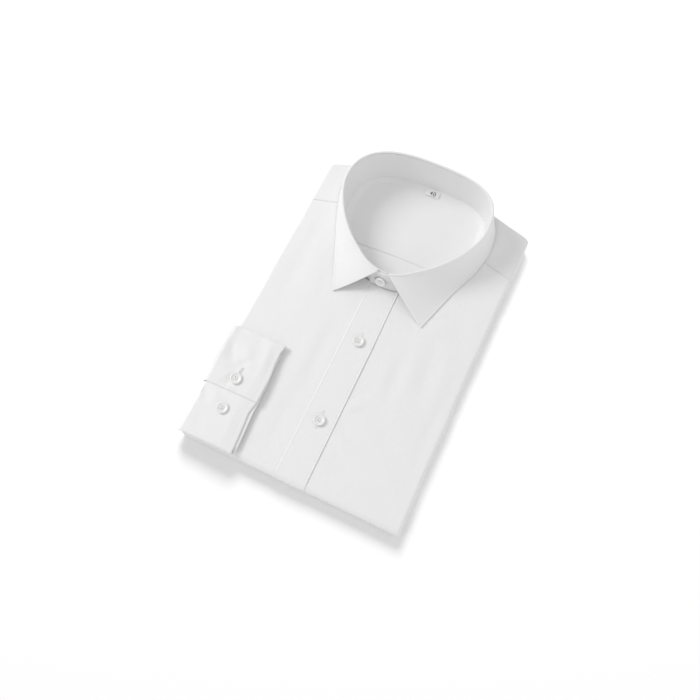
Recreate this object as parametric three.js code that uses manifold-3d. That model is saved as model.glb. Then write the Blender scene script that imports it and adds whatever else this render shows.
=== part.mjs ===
// A dress shirt folded for the shelf, lying on its back: the chest, the buttoned collar and one cuff show.
//
// The shirt is folded twice. Its side portions turn under at two long folds, and then its lower half turns
// under at the bottom fold, so that an upper pack lies on a lower pack. Both packs are wrapped by the fronts.
// The right sleeve comes out between the packs and turns over the edge, so that its cuff lies on the chest.
//
// Garment frame, in millimetres: +X towards the wearer's left, +Y from the bottom fold to the collar, +Z up.
// The group is moved at the end, so that the part's origin is the centre of its footprint.

import * as THREE from "three";
import { mergeVertices } from "three/addons/utils/BufferGeometryUtils.js";
import Module from "manifold-3d";

const wasm = await Module();
wasm.setup();

// ---- Driving dimensions ----

const CLOTH = 1.2; // wall that stands for one sewn panel
const SEAM = 0.3; // gap between neighbouring pieces
const HALF_WIDTH = 118; // centre line to a side fold
const PACK = 7.5; // thickness of each folded pack
const CURL = PACK / 2; // radius of a side fold
const TUCK = 20; // cloth that shows under a side fold
const CROWN = 2.5; // rise of the chest towards the collar

const SEAM_SIDE_Y = 292; // front yoke seam at the side fold
const SEAM_SLOPE = 0.268; // rise of that seam towards the neck
const SHOULDER_SIDE_Y = 347; // shoulder fold at the side fold
const SHOULDER_SLOPE = 0.28;
const SHOULDER_TOP_Y = 370; // shoulder fold behind the collar
const BACK_SEAM_Y = 269.5; // seam of yoke and back, seen inside the neck
const TAIL_END_Y = 341; // far end of the lower pack

// Neckline and roll line, each an egg round a centre, measured on the middle of the stand. It has a power for
// each quarter: 1 is a straight slope, 2 round and more is squarish. The wearer's left is first.
const NECK = { x: -2, y: 312, half: 76, front: 85, back: 50.5, frontPowers: [2.1, 2.1], backPowers: [3.5, 2.7] };
const RIM = { x: -4, y: 312, half: 79.3, front: 79.5, back: 50, frontPowers: [1.5, 1.62], backPowers: [3, 2.4] };
const RIM_FRONT_Z = 42;
const RIM_BACK_Z = 60;
const STAND = 1.6; // thickness of the interlined stand
const STAND_OVERLAP = 13; // each end of the stand passes the centre front by this much
const LEAF = 1.1; // thickness of the leaf
const ROLL = 1.35; // outer radius of the leaf's roll over the stand

const PLACKET = { left: -15.5, right: 16.5, rise: 0.7, thick: 1.4 };

const CUFF = { wall: 1.6, seamX: -117, freeX: -61, low: 0.8, high: 122.5, over: 56, under: 68, mouth: 3.6 };
const SLEEVE_WALL = 1.1;

const BUTTON = { radius: 6, thick: 2.4, dish: 0.8, hole: 0.8, holeAt: 1.5, above: 0.5 };
const LABEL = { left: -6.5, right: 10, low: 351.5, high: 360, thick: 0.9 };
const FLOOR_Z = PACK + 2.9; // top of the cloth seen inside the neck

// ---- Small helpers ----

const vec = (x, y, z) => new THREE.Vector3(x, y, z);
const steps = (n, from = 0, to = 1) => Array.from({ length: n + 1 }, (_, i) => from + ((to - from) * i) / n);
const { lerp, smoothstep, degToRad } = THREE.MathUtils;

// Closed surface from points and triangles, with its faces turned outwards.
function surface(points, triangles) {
  let volume = 0;
  for (const [a, b, c] of triangles) volume += points[a].dot(points[b].clone().cross(points[c]));
  const faces = volume < 0 ? triangles.map(([a, b, c]) => [a, c, b]) : triangles;
  const geometry = new THREE.BufferGeometry().setFromPoints(points);
  geometry.setIndex(faces.flat());
  geometry.computeVertexNormals();
  return geometry;
}

// Cloth wall: a grid of columns of points on its outer face, and the same points moved in by its thickness.
function wall(columns, thickness, inward = 1) {
  const across = columns.length;
  const along = columns[0].length;
  const at = (i, j) => columns[THREE.MathUtils.clamp(i, 0, across - 1)][THREE.MathUtils.clamp(j, 0, along - 1)];
  const outer = columns.flat();
  const inner = [];
  for (let i = 0; i < across; i++) {
    for (let j = 0; j < along; j++) {
      const du = at(i + 1, j).clone().sub(at(i - 1, j));
      const dv = at(i, j + 1).clone().sub(at(i, j - 1));
      const normal = du.cross(dv).normalize();
      inner.push(at(i, j).clone().addScaledVector(normal, inward * thickness));
    }
  }
  const offset = outer.length;
  const index = (i, j) => i * along + j;
  const triangles = [];
  const quad = (a, b, c, d) => triangles.push([a, b, c], [a, c, d]);
  for (let i = 0; i < across - 1; i++) {
    for (let j = 0; j < along - 1; j++) {
      const [a, b, c, d] = [index(i, j), index(i + 1, j), index(i + 1, j + 1), index(i, j + 1)];
      quad(a, b, c, d);
      quad(offset + d, offset + c, offset + b, offset + a);
    }
  }
  const border = [
    ...steps(across - 1, 0, across - 1).map((i) => index(Math.round(i), 0)),
    ...steps(along - 2, 1, along - 1).map((j) => index(across - 1, Math.round(j))),
    ...steps(across - 2, across - 2, 0).map((i) => index(Math.round(i), along - 1)),
    ...steps(along - 3, along - 2, 1).map((j) => index(0, Math.round(j))),
  ];
  border.forEach((a, k) => {
    const b = border[(k + 1) % border.length];
    quad(b, a, offset + a, offset + b);
  });
  return surface([...outer, ...inner], triangles);
}

// Solid through closed rings with the same number of points, with flat ends.
function loft(rings) {
  const around = rings[0].length;
  const points = rings.flat();
  const triangles = [];
  for (let r = 0; r < rings.length - 1; r++) {
    for (let k = 0; k < around; k++) {
      const [a, b] = [r * around + k, r * around + ((k + 1) % around)];
      triangles.push([a, b, b + around], [a, b + around, a + around]);
    }
  }
  for (const [start, flip] of [[0, true], [(rings.length - 1) * around, false]]) {
    const middle = vec(0, 0, 0);
    for (let k = 0; k < around; k++) middle.addScaledVector(points[start + k], 1 / around);
    const centre = points.push(middle) - 1;
    for (let k = 0; k < around; k++) {
      const [a, b] = [start + k, start + ((k + 1) % around)];
      triangles.push(flip ? [centre, b, a] : [centre, a, b]);
    }
  }
  return surface(points, triangles);
}

function toSolid(geometry) {
  const bare = geometry.clone();
  bare.deleteAttribute("normal");
  bare.deleteAttribute("uv");
  const merged = mergeVertices(bare, 1e-4);
  const vertProperties = new Float32Array(merged.attributes.position.array);
  const triVerts = new Uint32Array(merged.index.array);
  return new wasm.Manifold(new wasm.Mesh({ numProp: 3, vertProperties, triVerts }));
}

function fromSolid(solid) {
  const mesh = solid.getMesh();
  const geometry = new THREE.BufferGeometry();
  geometry.setAttribute("position", new THREE.BufferAttribute(mesh.vertProperties, 3));
  geometry.setIndex(new THREE.BufferAttribute(mesh.triVerts, 1));
  geometry.computeVertexNormals();
  return geometry;
}

// ---- The folded packs ----

// Thickness of the upper pack: it rises towards the collar and falls to the sides and shoulders.
function upperPack(x, y) {
  const middle = 1 - (x / HALF_WIDTH) ** 2;
  const towardsCollar = smoothstep(y, 20, 210);
  const shoulder = 1 - 0.7 * smoothstep(y, 305, 365);
  return PACK + CROWN * Math.max(middle, 0) * towardsCollar * shoulder;
}

const topZ = (x, y) => PACK + upperPack(x, y);
const seamY = (x) => SEAM_SIDE_Y + (HALF_WIDTH - Math.abs(x)) * SEAM_SLOPE;
const shoulderY = (x) => Math.min(SHOULDER_SIDE_Y + (HALF_WIDTH - Math.abs(x)) * SHOULDER_SLOPE, SHOULDER_TOP_Y);

// A point of cloth at height h over the plane between the packs: on top, round the bottom fold, or beneath.
function onPack(x, y, h, turn) {
  if (turn === 0) return vec(x, y, PACK + (h * upperPack(x, y)) / PACK);
  if (turn < Math.PI) return vec(x, PACK - h * Math.sin(turn), PACK + h * Math.cos(turn));
  return vec(x, y, PACK - h);
}

// A side fold in section: angle 0 is on top, 180 degrees beneath, and the tuck runs on from its end.
function sideFold(share, endAngle, tuck, squash = 1) {
  const angle = endAngle * Math.min(share, 1);
  const x = HALF_WIDTH - CURL + CURL * squash * Math.sin(angle);
  const h = CURL + CURL * squash * Math.cos(angle);
  if (share <= 1) return { x, h: Math.max(h, SEAM / 2) };
  const slope = { x: Math.cos(angle), h: -Math.sin(angle) };
  return { x: x + slope.x * tuck, h: Math.max(h + slope.h * tuck, SEAM / 2) };
}

const FOLD_SHARES = [0.2, 0.4, 0.6, 0.8, 1, 2]; // columns of a side fold; the last one is the tuck's end

// The folded body isn't quite square: it widens towards the wearer's left shoulder, and the right one is lower.
const SETTLE = { widen: 2.4, lower: 2.6 };

function settled(geometry) {
  const place = geometry.getAttribute("position");
  for (let i = 0; i < place.count; i++) {
    const [x, y] = [place.getX(i), place.getY(i)];
    place.setX(i, x + SETTLE.widen * smoothstep(x, 92, HALF_WIDTH) * smoothstep(y, 150, 340));
    place.setY(i, y - SETTLE.lower * smoothstep(-x, 86, HALF_WIDTH) * smoothstep(y, 300, 345));
  }
  return geometry;
}

// ---- Neckline and roll line ----

// Plan point at a share of the way round an egg, from the centre front past the wearer's left side.
function egg(shape, share) {
  const angle = share * 2 * Math.PI;
  const [s, c] = [Math.sin(angle), Math.cos(angle)];
  const powers = c > 0 ? shape.frontPowers : shape.backPowers;
  const power = 2 / powers[s > 0 ? 0 : 1];
  const depth = c > 0 ? shape.front : shape.back;
  const ahead = Math.sign(c) * Math.abs(c) ** power;
  return vec(shape.x + shape.half * Math.sign(s) * Math.abs(s) ** power, shape.y - depth * ahead, 0);
}

// The egg moved out by grow, as points evenly spaced along it; the last point repeats the first.
function eggLine(shape, grow, count) {
  const dense = steps(720).map((t) => egg(shape, t));
  const moved = dense.map((point, i) => {
    const before = dense[(i + 719) % 720];
    const after = dense[(i + 1) % 720];
    const along = after.clone().sub(before).normalize();
    return point.clone().add(vec(along.y * grow, -along.x * grow, 0));
  });
  return evenly(moved, count);
}

// Points spaced evenly along a polyline.
function evenly(points, count) {
  const path = new THREE.CurvePath();
  for (let i = 0; i < points.length - 1; i++) path.add(new THREE.LineCurve3(points[i], points[i + 1]));
  return steps(count).map((t) => path.getPointAt(Math.min(t, 1)));
}

const NECK_CLOSE = eggLine(NECK, STAND / 2 + 2 * SEAM, 240);
const NECK_FAR = eggLine(NECK, STAND / 2 + STAND + 3 * SEAM, 240);

// The stand's outer end lies over the inner one near the centre front: 1 there, 0 elsewhere.
const OVERLAP = STAND_OVERLAP / 440;
const crossed = (share) => 1 - smoothstep(share, OVERLAP, 3.2 * OVERLAP);

// Where the panels end at the stand.
const neckEdge = steps(240).map((share, i) => {
  const grow = (STAND + SEAM) * crossed(share < 0.5 ? share : 1 - share);
  const [close, far] = [NECK_CLOSE[i], NECK_FAR[i]];
  return close.clone().lerp(far, grow / (STAND + SEAM));
});

// ---- Fronts, placket ----

// Columns of a front: along the neckline, along the yoke seam, round the side fold and under it.
function frontColumns(side) {
  const edge = side > 0 ? PLACKET.right : PLACKET.left;
  const line = side > 0 ? neckEdge : [...neckEdge].reverse();
  const start = line.findIndex((p) => (p.x - edge) * side > SEAM);
  const end = line.findIndex((p) => p.y > seamY(p.x) - SEAM);
  const neckline = evenly(line.slice(start, end + 1), 9);
  neckline[0].x = edge + side * SEAM;
  const corner = neckline.at(-1);
  const flat = side * (HALF_WIDTH - CURL);
  const seam = steps(3).map((t) => lerp(corner.x, flat, t)).map((x) => vec(x, seamY(x) - SEAM, 0));
  const tops = [...neckline, ...seam.slice(1)];
  return tops.map((top, i) => ({ top, bottomX: lerp(neckline[0].x, flat, i / (tops.length - 1)) }));
}

const FRONT_ROWS = [
  ...steps(9).map((t) => ({ turn: 0, share: t })),
  ...steps(6).slice(1, -1).map((t) => ({ turn: t * Math.PI, share: 1 })),
  ...[0, 0.2, 0.5, 1].map((t) => ({ turn: Math.PI, share: t })),
];

function front(side) {
  const columns = frontColumns(side).map(({ top, bottomX }) =>
    FRONT_ROWS.map(({ turn, share }) => {
      if (turn === Math.PI) return onPack(bottomX, lerp(PACK, TAIL_END_Y, share), PACK, turn);
      return onPack(lerp(top.x, bottomX, share), lerp(top.y, PACK, share), PACK, turn);
    }),
  );
  // The wearer's right side fold stays open under the cuff, where the sleeve comes out between the packs.
  const openTo = side > 0 ? PACK + 2 : CUFF.high + 13;
  const folds = FOLD_SHARES.map((foldShare) =>
    FRONT_ROWS.map(({ turn, share }) => {
      const beneath = turn === Math.PI;
      const y = beneath ? lerp(PACK, TAIL_END_Y, share) : lerp(seamY(HALF_WIDTH) - SEAM, PACK, share);
      const round = turn > 0 && !beneath;
      const open = beneath ? PACK : openTo;
      const shut = round ? 0 : smoothstep(y, open, open + 25);
      const tucked = round ? 0 : smoothstep(y, open + (beneath ? 70 : 36), open + (beneath ? 110 : 60));
      const { x, h } = sideFold(foldShare, degToRad(lerp(side > 0 ? 110 : 65, 180, shut)), lerp(0.6, TUCK, tucked));
      return onPack(side * x, y, h, turn);
    }),
  );
  return wall([...columns, ...folds], CLOTH, side);
}

// The buttonhole band between the fronts: raised a little on the chest and flush beneath.
function placket() {
  const frontEdge = neckEdge.filter((p) => p.y < NECK.y);
  const neckY = (x) => frontEdge.reduce((best, p) => (Math.abs(p.x - x) < Math.abs(best.x - x) ? p : best)).y;
  const columns = steps(4, PLACKET.left, PLACKET.right).map((x) =>
    FRONT_ROWS.map(({ turn, share }) => {
      const rise = PLACKET.rise * (1 + Math.cos(turn)) * 0.5;
      const y = turn === Math.PI ? lerp(PACK, TAIL_END_Y, share) : lerp(neckY(x), PACK, share);
      return onPack(x, y, PACK + rise, turn);
    }),
  );
  return wall(columns, PLACKET.thick, 1);
}

// ---- Yoke, and what shows inside the neck ----

// The yoke runs from the front seams and the neckline over the shoulder fold and under it.
function yoke() {
  const rightEnd = neckEdge.findIndex((p) => p.y > seamY(p.x) + SEAM);
  const leftEnd = neckEdge.length - 1 - [...neckEdge].reverse().findIndex((p) => p.y > seamY(p.x) + SEAM);
  const around = evenly(neckEdge.slice(rightEnd, leftEnd + 1), 26);
  const flat = HALF_WIDTH - CURL;
  const seamLine = (from, to) => steps(3, from, to).map((x) => vec(x, seamY(x) + SEAM, 0));
  const starts = [
    ...seamLine(flat, around[0].x).slice(0, -1),
    ...around,
    ...seamLine(around.at(-1).x, -flat).slice(1),
  ];
  const count = starts.length - 1;
  const foldRows = steps(6);

  const flatColumn = (start, i) => {
    const foldX = lerp(start.x, lerp(flat, -flat, i / count), 0.5);
    const foldY = shoulderY(foldX);
    const wrap = 1 - smoothstep(Math.abs(foldX), HALF_WIDTH - 36, HALF_WIDTH - 26);
    const endAngle = degToRad(lerp(63, 180, wrap));
    const thick = upperPack(foldX, foldY);
    const top = steps(3).map((t) => {
      const [x, y] = [lerp(start.x, foldX, t), lerp(start.y, foldY - CURL, t)];
      return vec(x, y, topZ(x, y));
    });
    const round = foldRows.slice(1).map((t) => {
      const angle = t * endAngle;
      return vec(foldX, foldY - CURL + CURL * Math.sin(angle), PACK + (thick / 2) * (1 + Math.cos(angle)) + SEAM / 2);
    });
    const last = round.at(-1);
    const under = vec(foldX, last.y - lerp(0.6, 9, wrap), last.z - lerp(0.6, 0, wrap));
    return [...top, ...round, under];
  };

  const foldColumn = (side, foldShare) => {
    const startY = seamY(HALF_WIDTH) + SEAM;
    const at = (y, squash, angle = Math.PI, tuck = TUCK) => {
      const { x, h } = sideFold(foldShare, angle, tuck, squash);
      return vec(side * x, y, PACK + h);
    };
    const top = steps(3, startY, SHOULDER_SIDE_Y - CURL).map((y) => at(y, 1));
    const round = foldRows.slice(1).map((t) => {
      const angle = t * degToRad(63);
      return at(SHOULDER_SIDE_Y - CURL + CURL * Math.sin(angle), Math.cos(angle));
    });
    return [...top, ...round, at(SHOULDER_SIDE_Y - 0.1, Math.cos(degToRad(66)))];
  };

  const columns = [
    ...[...FOLD_SHARES].reverse().map((share) => foldColumn(1, share)),
    ...starts.map(flatColumn),
    ...FOLD_SHARES.map((share) => foldColumn(-1, share)),
  ];
  return wall(columns, CLOTH, 1);
}

const floorZ = (y) => FLOOR_Z + 3.7 * smoothstep(y, NECK.y + 12, NECK.y + NECK.back);

// Cloth seen through the neck: a sheet between two lines of y, as wide as the neck allows.
function floorSheet(fromY, toY, rows) {
  const reach = 6;
  const halfAt = (y) => {
    const depth = y < NECK.y ? NECK.front : NECK.back;
    const power = y < NECK.y ? NECK.frontPowers[0] : NECK.backPowers[1];
    const share = Math.min(Math.abs(y - NECK.y) / (depth + reach), 0.985);
    return (NECK.half + reach) * (1 - share ** power) ** (1 / power);
  };
  const columns = steps(10, -1, 1).map((across) =>
    steps(rows, fromY, toY).map((y) => {
      const x = NECK.x + across * halfAt(y);
      return vec(x, y, floorZ(y));
    }),
  );
  return wall(columns, CLOTH, -1);
}

// ---- Collar ----

const rimZ = (y) => lerp(RIM_FRONT_Z, RIM_BACK_Z, smoothstep(y, RIM.y - RIM.front, RIM.y + RIM.back));

// Middle line of the stand from base to roll, at a distance along it from the centre front.
const neckRound = eggLine(NECK, 0, 240);
const rimRound = eggLine(RIM, 0, 240);

function roundAt(line, share) {
  const place = (((share % 1) + 1) % 1) * (line.length - 1);
  const i = Math.floor(place);
  return line[i].clone().lerp(line[Math.min(i + 1, line.length - 1)], place - i);
}

// Point on the stand's middle surface, and the way out of the collar there.
function standPoint(share, height) {
  const base = roundAt(neckRound, share);
  const rim = roundAt(rimRound, share);
  base.z = topZ(base.x, base.y) - 1;
  rim.z = rimZ(rim.y) - ROLL - 1.4;
  const ahead = roundAt(rimRound, share + 0.004);
  const behind = roundAt(rimRound, share - 0.004);
  const along = ahead.sub(behind).normalize();
  return { point: base.lerp(rim, height), out: vec(along.y, -along.x, 0).normalize() };
}

// The stand is one strip. Its end from the wearer's left passes the centre front outside the other end.
const STAND_END = [0, 1, 3, 6, 10, 15].map((d) => d / 440); // columns near a rounded end

function collarStand() {
  const regular = steps(52, STAND_END.at(-1) - OVERLAP + 0.01, 1.0 + OVERLAP - STAND_END.at(-1) - 0.01);
  const shares = [
    ...STAND_END.map((d) => d - OVERLAP),
    ...regular,
    ...[...STAND_END].reverse().map((d) => 1 + OVERLAP - d),
  ];
  const columns = shares.map((share) => {
    const shift = STAND / 2 + (STAND + SEAM) * crossed(share);
    const fromEnd = Math.min(share + OVERLAP, 1 + OVERLAP - share) / STAND_END[4];
    const full = fromEnd < 1 ? 0.3 + 0.7 * Math.sqrt(1 - (1 - fromEnd) ** 2) : 1;
    return steps(3, 0, full).map((height) => {
      const { point, out } = standPoint(share, height);
      return point.addScaledVector(out, shift);
    });
  });
  return wall(columns, STAND, -1);
}

// Outer edge of the leaf on the garment, from the wearer's left point round the back to the right point.
const LEAF_EDGE = [
  { x: 54, y: 200, lift: 0.4 },
  { x: 69, y: 249, lift: 1 },
  { x: 83, y: 288, lift: 1.5 },
  { x: 87, y: 318, lift: 1.5 },
  { x: 79, y: 347, lift: 2 },
  { x: 50, y: 370, lift: 3 },
  { x: -3, y: 376, lift: 3 },
  { x: -56, y: 370, lift: 3 },
  { x: -85, y: 347, lift: 2 },
  { x: -92, y: 318, lift: 1.5 },
  { x: -84, y: 288, lift: 1.5 },
  { x: -68, y: 249, lift: 1 },
  { x: -47, y: 199, lift: 0.4 },
];
// The leaf's ends stand off the centre front by these shares of the roll line.
const LEAF_START = 0.013;
const LEAF_END = 0.989;

// Section of the leaf: up the inside of the roll, over it, and down to the outer edge.
function leafSection(t, edgeCurve) {
  const share = lerp(LEAF_START, LEAF_END, t);
  const { out } = standPoint(share, 1);
  const rim = roundAt(rimRound, share).addScaledVector(out, (STAND + SEAM) * crossed(Math.min(share, 1 - share)));
  rim.z = rimZ(rim.y);
  const onRoll = (degrees, drop = 0) => {
    const a = degToRad(degrees);
    const place = rim.clone().addScaledVector(out, ROLL - STAND / 2 + ROLL * Math.cos(a));
    place.z += ROLL * Math.sin(a) - ROLL - drop;
    return place;
  };
  const start = onRoll(0);
  const edge = edgeCurve.getPointAt(t);
  const fall = [0.1, 0.24, 0.42, 0.62, 0.82, 1].map((w) => {
    const place = start.clone().lerp(edge, w);
    place.z = edge.z + (start.z - edge.z) * (1 - w) ** 1.3;
    return place;
  });
  return [onRoll(180, 0.8), ...[180, 135, 90, 45].map((degrees) => onRoll(degrees)), start, ...fall];
}

function collarLeaf() {
  const edgePoints = LEAF_EDGE.map(({ x, y, lift }) => vec(x, y, topZ(x, Math.min(y, 340)) + LEAF + 0.4 + lift));
  const edgeCurve = new THREE.CatmullRomCurve3(edgePoints, false, "centripetal");
  const columns = steps(48).map((t) => leafSection(t, edgeCurve));
  return wall(columns, LEAF, 1);
}

// ---- Cuff and sleeve ----

// Section of a flattened cuff, as distances along the shirt and off its surface. The strip starts at the
// overlapping edge on top, turns round the far fold, runs back beneath and ends under its own start.
function cuffSection(thick, gap, low, bulge) {
  const one = 2 * thick + gap;
  const two = one + SEAM + thick + bulge;
  const arc = (y, side, from, r) =>
    steps(5).map((t) => {
      const angle = from + t * Math.PI;
      return { y: y + side * r * Math.sin(side > 0 ? angle : -angle), d: r + r * Math.cos(angle) };
    });
  return [
    { y: CUFF.over, d: two },
    { y: 70, d: two },
    { y: 82, d: one + bulge + 0.5 },
    ...arc(CUFF.high - (one + bulge) / 2, 1, 0, (one + bulge) / 2),
    { y: 60, d: 0 },
    ...arc(low + one / 2, -1, Math.PI, one / 2),
    { y: 48, d: one },
    { y: CUFF.under, d: one },
  ];
}

// Stations along the sleeve and cuff. Those with an angle lie on the side fold, which they turn over.
const SLEEVE_STATIONS = [
  { x: -112, z: PACK + 4.05, tilt: 270, low: 8 },
  { x: -115.6, z: PACK + 4.05, tilt: 270, low: 8 },
  { x: -117.5, z: PACK + 4.15, tilt: 225, low: 8 },
  { angle: 176, bulge: 3 },
  { angle: 158, bulge: 3.5 },
  { angle: 140, bulge: 3.2 },
  { angle: 122, bulge: 2.2 },
  { angle: 119, bulge: 2 },
];
const CUFF_STATIONS = [
  { angle: 116, bulge: 1.8 },
  { angle: 113, bulge: 1.6 },
  { angle: 101, bulge: 0.8 },
  { x: -112, z: 2 * PACK + 0.4, tilt: 91, mouth: 0.6 },
  { x: -102, z: 2 * PACK + 0.4, tilt: 90, mouth: 1.2 },
  { x: -88, z: 2 * PACK + 0.5, tilt: 90, mouth: 2 },
  { x: -74, z: 2 * PACK + 0.6, tilt: 90, mouth: 2.9 },
  { x: CUFF.freeX, z: 2 * PACK + 0.8, tilt: 90, mouth: CUFF.mouth },
];

function onSideFold({ angle }) {
  const [r, a] = [CURL + 0.4, degToRad(angle)];
  return { x: CURL - HALF_WIDTH + r * Math.cos(a), z: PACK + CURL + r * Math.sin(a), tilt: angle };
}

function tube(stations, thick) {
  return stations.map((station) => {
    const { mouth = 0.3, low = CUFF.low, bulge = 0 } = station;
    const { x, z, tilt } = station.angle ? onSideFold(station) : station;
    const away = vec(Math.cos(degToRad(tilt)), 0, Math.sin(degToRad(tilt)));
    return cuffSection(thick, mouth, low, bulge).map(({ y, d }) => {
      const crown = topZ(x, y) - topZ(x, 0);
      return vec(x, y, z + crown).addScaledVector(away, d);
    });
  });
}

function cuffTop(x, y) {
  const [before, after] = [CUFF_STATIONS.findLast((s) => s.x <= x), CUFF_STATIONS.find((s) => s.x > x)];
  const t = (x - before.x) / (after.x - before.x);
  const layers = y < CUFF.over ? 2 : 3;
  const base = lerp(before.z, after.z, t) + topZ(x, y) - topZ(x, 0);
  return base + layers * CUFF.wall + lerp(before.mouth, after.mouth, t) + (layers - 2) * SEAM;
}

// ---- Buttons and label ----

// Four-hole shirt button with a raised rim and a dished middle, its back on the plane z = 0.
function buttonShape() {
  const { radius, thick, dish } = BUTTON;
  const profile = [
    [0, 0], [radius - 1.2, 0], [radius, 1], [radius - 0.1, thick - 0.4], [radius - 0.8, thick],
    [radius - 1.6, thick - 0.3], [radius - 2.5, thick - dish - 0.3], [0, thick - dish - 0.2],
  ].map(([r, z]) => new THREE.Vector2(r, z));
  const disc = new THREE.LatheGeometry(profile, 20).rotateX(Math.PI / 2);
  let solid = toSolid(disc);
  for (const [sx, sy] of [[1, 1], [1, -1], [-1, 1], [-1, -1]]) {
    const drill = new THREE.CylinderGeometry(BUTTON.hole, BUTTON.hole, 3 * thick, 8).rotateX(Math.PI / 2);
    drill.translate((sx * BUTTON.holeAt) / Math.SQRT2, (sy * BUTTON.holeAt) / Math.SQRT2, thick / 2);
    solid = solid.subtract(toSolid(drill));
  }
  return fromSolid(solid);
}

const BUTTONS = [
  { name: "button_collar", at: [-4, 0, 0], lean: 0 },
  { name: "button_2", at: [2, 159, topZ(2, 159) + PLACKET.rise], lean: 0 },
  { name: "button_3", at: [2, 68, topZ(2, 68) + PLACKET.rise], lean: 0 },
  { name: "button_cuff_1", at: [-91, 69.5, cuffTop(-91, 69.5)], lean: 0 },
  { name: "button_cuff_2", at: [-89, 37.5, cuffTop(-89, 37.5)], lean: 0 },
];
// The collar button lies on the outer end of the stand, which leans back.
const onStand = standPoint(0.998, 0.45).point;
const standLow = standPoint(0.998, 0).point;
const standHigh = standPoint(0.998, 1).point;
const lean = Math.atan2(standHigh.z - standLow.z, standHigh.y - standLow.y);
const off = STAND / 2 + STAND + SEAM;
BUTTONS[0].at = [-4, onStand.y - Math.sin(lean) * off, onStand.z + Math.cos(lean) * off];
BUTTONS[0].lean = lean;

// Size label: a small folded loop of tape that lies on the yoke behind the neck.
function labelShape() {
  const columns = steps(3, LABEL.left, LABEL.right).map((x) =>
    steps(4, LABEL.low, LABEL.high).map((y) => vec(x, y, floorZ(y) + LABEL.thick + SEAM)),
  );
  return wall(columns, LABEL.thick, -1);
}

// ---- Hidden layers ----

// Backs, sleeves and tail inside the two packs, as one rounded solid that turns with the bottom fold.
function foldedLayers() {
  const inset = CLOTH + SEAM + 0.1;
  const half = HALF_WIDTH - CURL - 2.6;
  const ring = (y, turn, squash = 1) => {
    const low = turn > 0 && turn < Math.PI ? inset : SEAM / 2;
    const mid = PACK / 2;
    const hs = (h) => mid + (h - mid) * squash;
    const outline = [
      [-half, 3.4], [-half, PACK - inset - 1.2], [-half + 1.5, PACK - inset], [-60, PACK - inset],
      [-18, PACK - inset], [18, PACK - inset], [60, PACK - inset], [half - 1.5, PACK - inset],
      [half, PACK - inset - 1.2], [half, 3.4], [half - 1.5, inset], [HALF_WIDTH - CURL - TUCK - 3, inset],
      [HALF_WIDTH - CURL - TUCK - 4, low], [0, low], [-HALF_WIDTH + CURL + TUCK + 4, low],
      [-HALF_WIDTH + CURL + TUCK + 3, inset], [-half + 1.5, inset],
    ];
    return outline.map(([x, h]) => onPack(x, y, hs(h), turn));
  };
  const rings = [
    ring(SHOULDER_SIDE_Y - 7, 0, 0.6), ring(SHOULDER_SIDE_Y - 9.5, 0),
    ...steps(8, 320, PACK + 1).map((y) => ring(y, 0)),
    ...steps(6).slice(1, -1).map((t) => ring(PACK, t * Math.PI)),
    ring(PACK + 1, Math.PI), ring(120, Math.PI), ring(240, Math.PI),
    ring(TAIL_END_Y - 5, Math.PI), ring(TAIL_END_Y - 1.5, Math.PI, 0.6),
  ];
  const well = eggLine(NECK, 9, 48).slice(0, -1);
  const wellAt = (z) => well.map((p) => vec(p.x, p.y, z));
  const cutter = loft([wellAt(FLOOR_Z - CLOTH - SEAM), wellAt(FLOOR_Z + 30)]);
  return fromSolid(toSolid(loft(rings)).subtract(toSolid(cutter)));
}

// ---- Assembly ----

const cotton = () => new THREE.MeshStandardMaterial({ color: 0xf1f1f0, roughness: 0.85, metalness: 0 });
const collarCotton = () => new THREE.MeshStandardMaterial({ color: 0xf3f3f2, roughness: 0.8, metalness: 0 });
const shell = () => new THREE.MeshStandardMaterial({ color: 0xeeece8, roughness: 0.25, metalness: 0 });
const tape = () => new THREE.MeshStandardMaterial({ color: 0xf4f4f4, roughness: 0.7, metalness: 0 });

const shirt = new THREE.Group();

function add(name, geometry, material) {
  const mesh = new THREE.Mesh(geometry, material);
  mesh.name = name;
  shirt.add(mesh);
  return mesh;
}

add("folded_layers", settled(foldedLayers()), cotton());
add("front_right", settled(front(-1)), cotton());
add("front_left", settled(front(1)), cotton());
add("placket", placket(), cotton());
add("yoke", settled(yoke()), cotton());
add("yoke_inner", floorSheet(BACK_SEAM_Y + SEAM, NECK.y + NECK.back - 1.6, 8), cotton());
add("back", floorSheet(232, BACK_SEAM_Y - SEAM, 3), cotton());
add("collar_stand", collarStand(), collarCotton());
add("collar_leaf", collarLeaf(), collarCotton());
add("sleeve_right", wall(tube(SLEEVE_STATIONS, SLEEVE_WALL), SLEEVE_WALL, -1), cotton());
add("cuff_right", wall(tube(CUFF_STATIONS, CUFF.wall), CUFF.wall, -1), collarCotton());
add("neck_label", labelShape(), tape());
for (const { name, at, lean } of BUTTONS) {
  const button = add(name, buttonShape(), shell());
  button.rotation.x = lean;
  button.position.set(...at);
  button.translateZ(BUTTON.above);
}

const box = new THREE.Box3().setFromObject(shirt, true);
const centre = box.getCenter(vec(0, 0, 0));
shirt.position.set(-centre.x, -centre.y, -box.min.z);

export default shirt;
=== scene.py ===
# %% [markdown]
# # A folded dress shirt
#
# A white poplin shirt lies on its back, folded for the shelf. Each sewn panel is a thin closed shell of cloth
# on the form of its CAD solid. Millimetres are used throughout, in a garment frame: +X towards the wearer's
# left, +Y from the bottom fold to the collar, +Z up. The last step of every mesh moves it to the shared frame.

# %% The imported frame
import math

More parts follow.
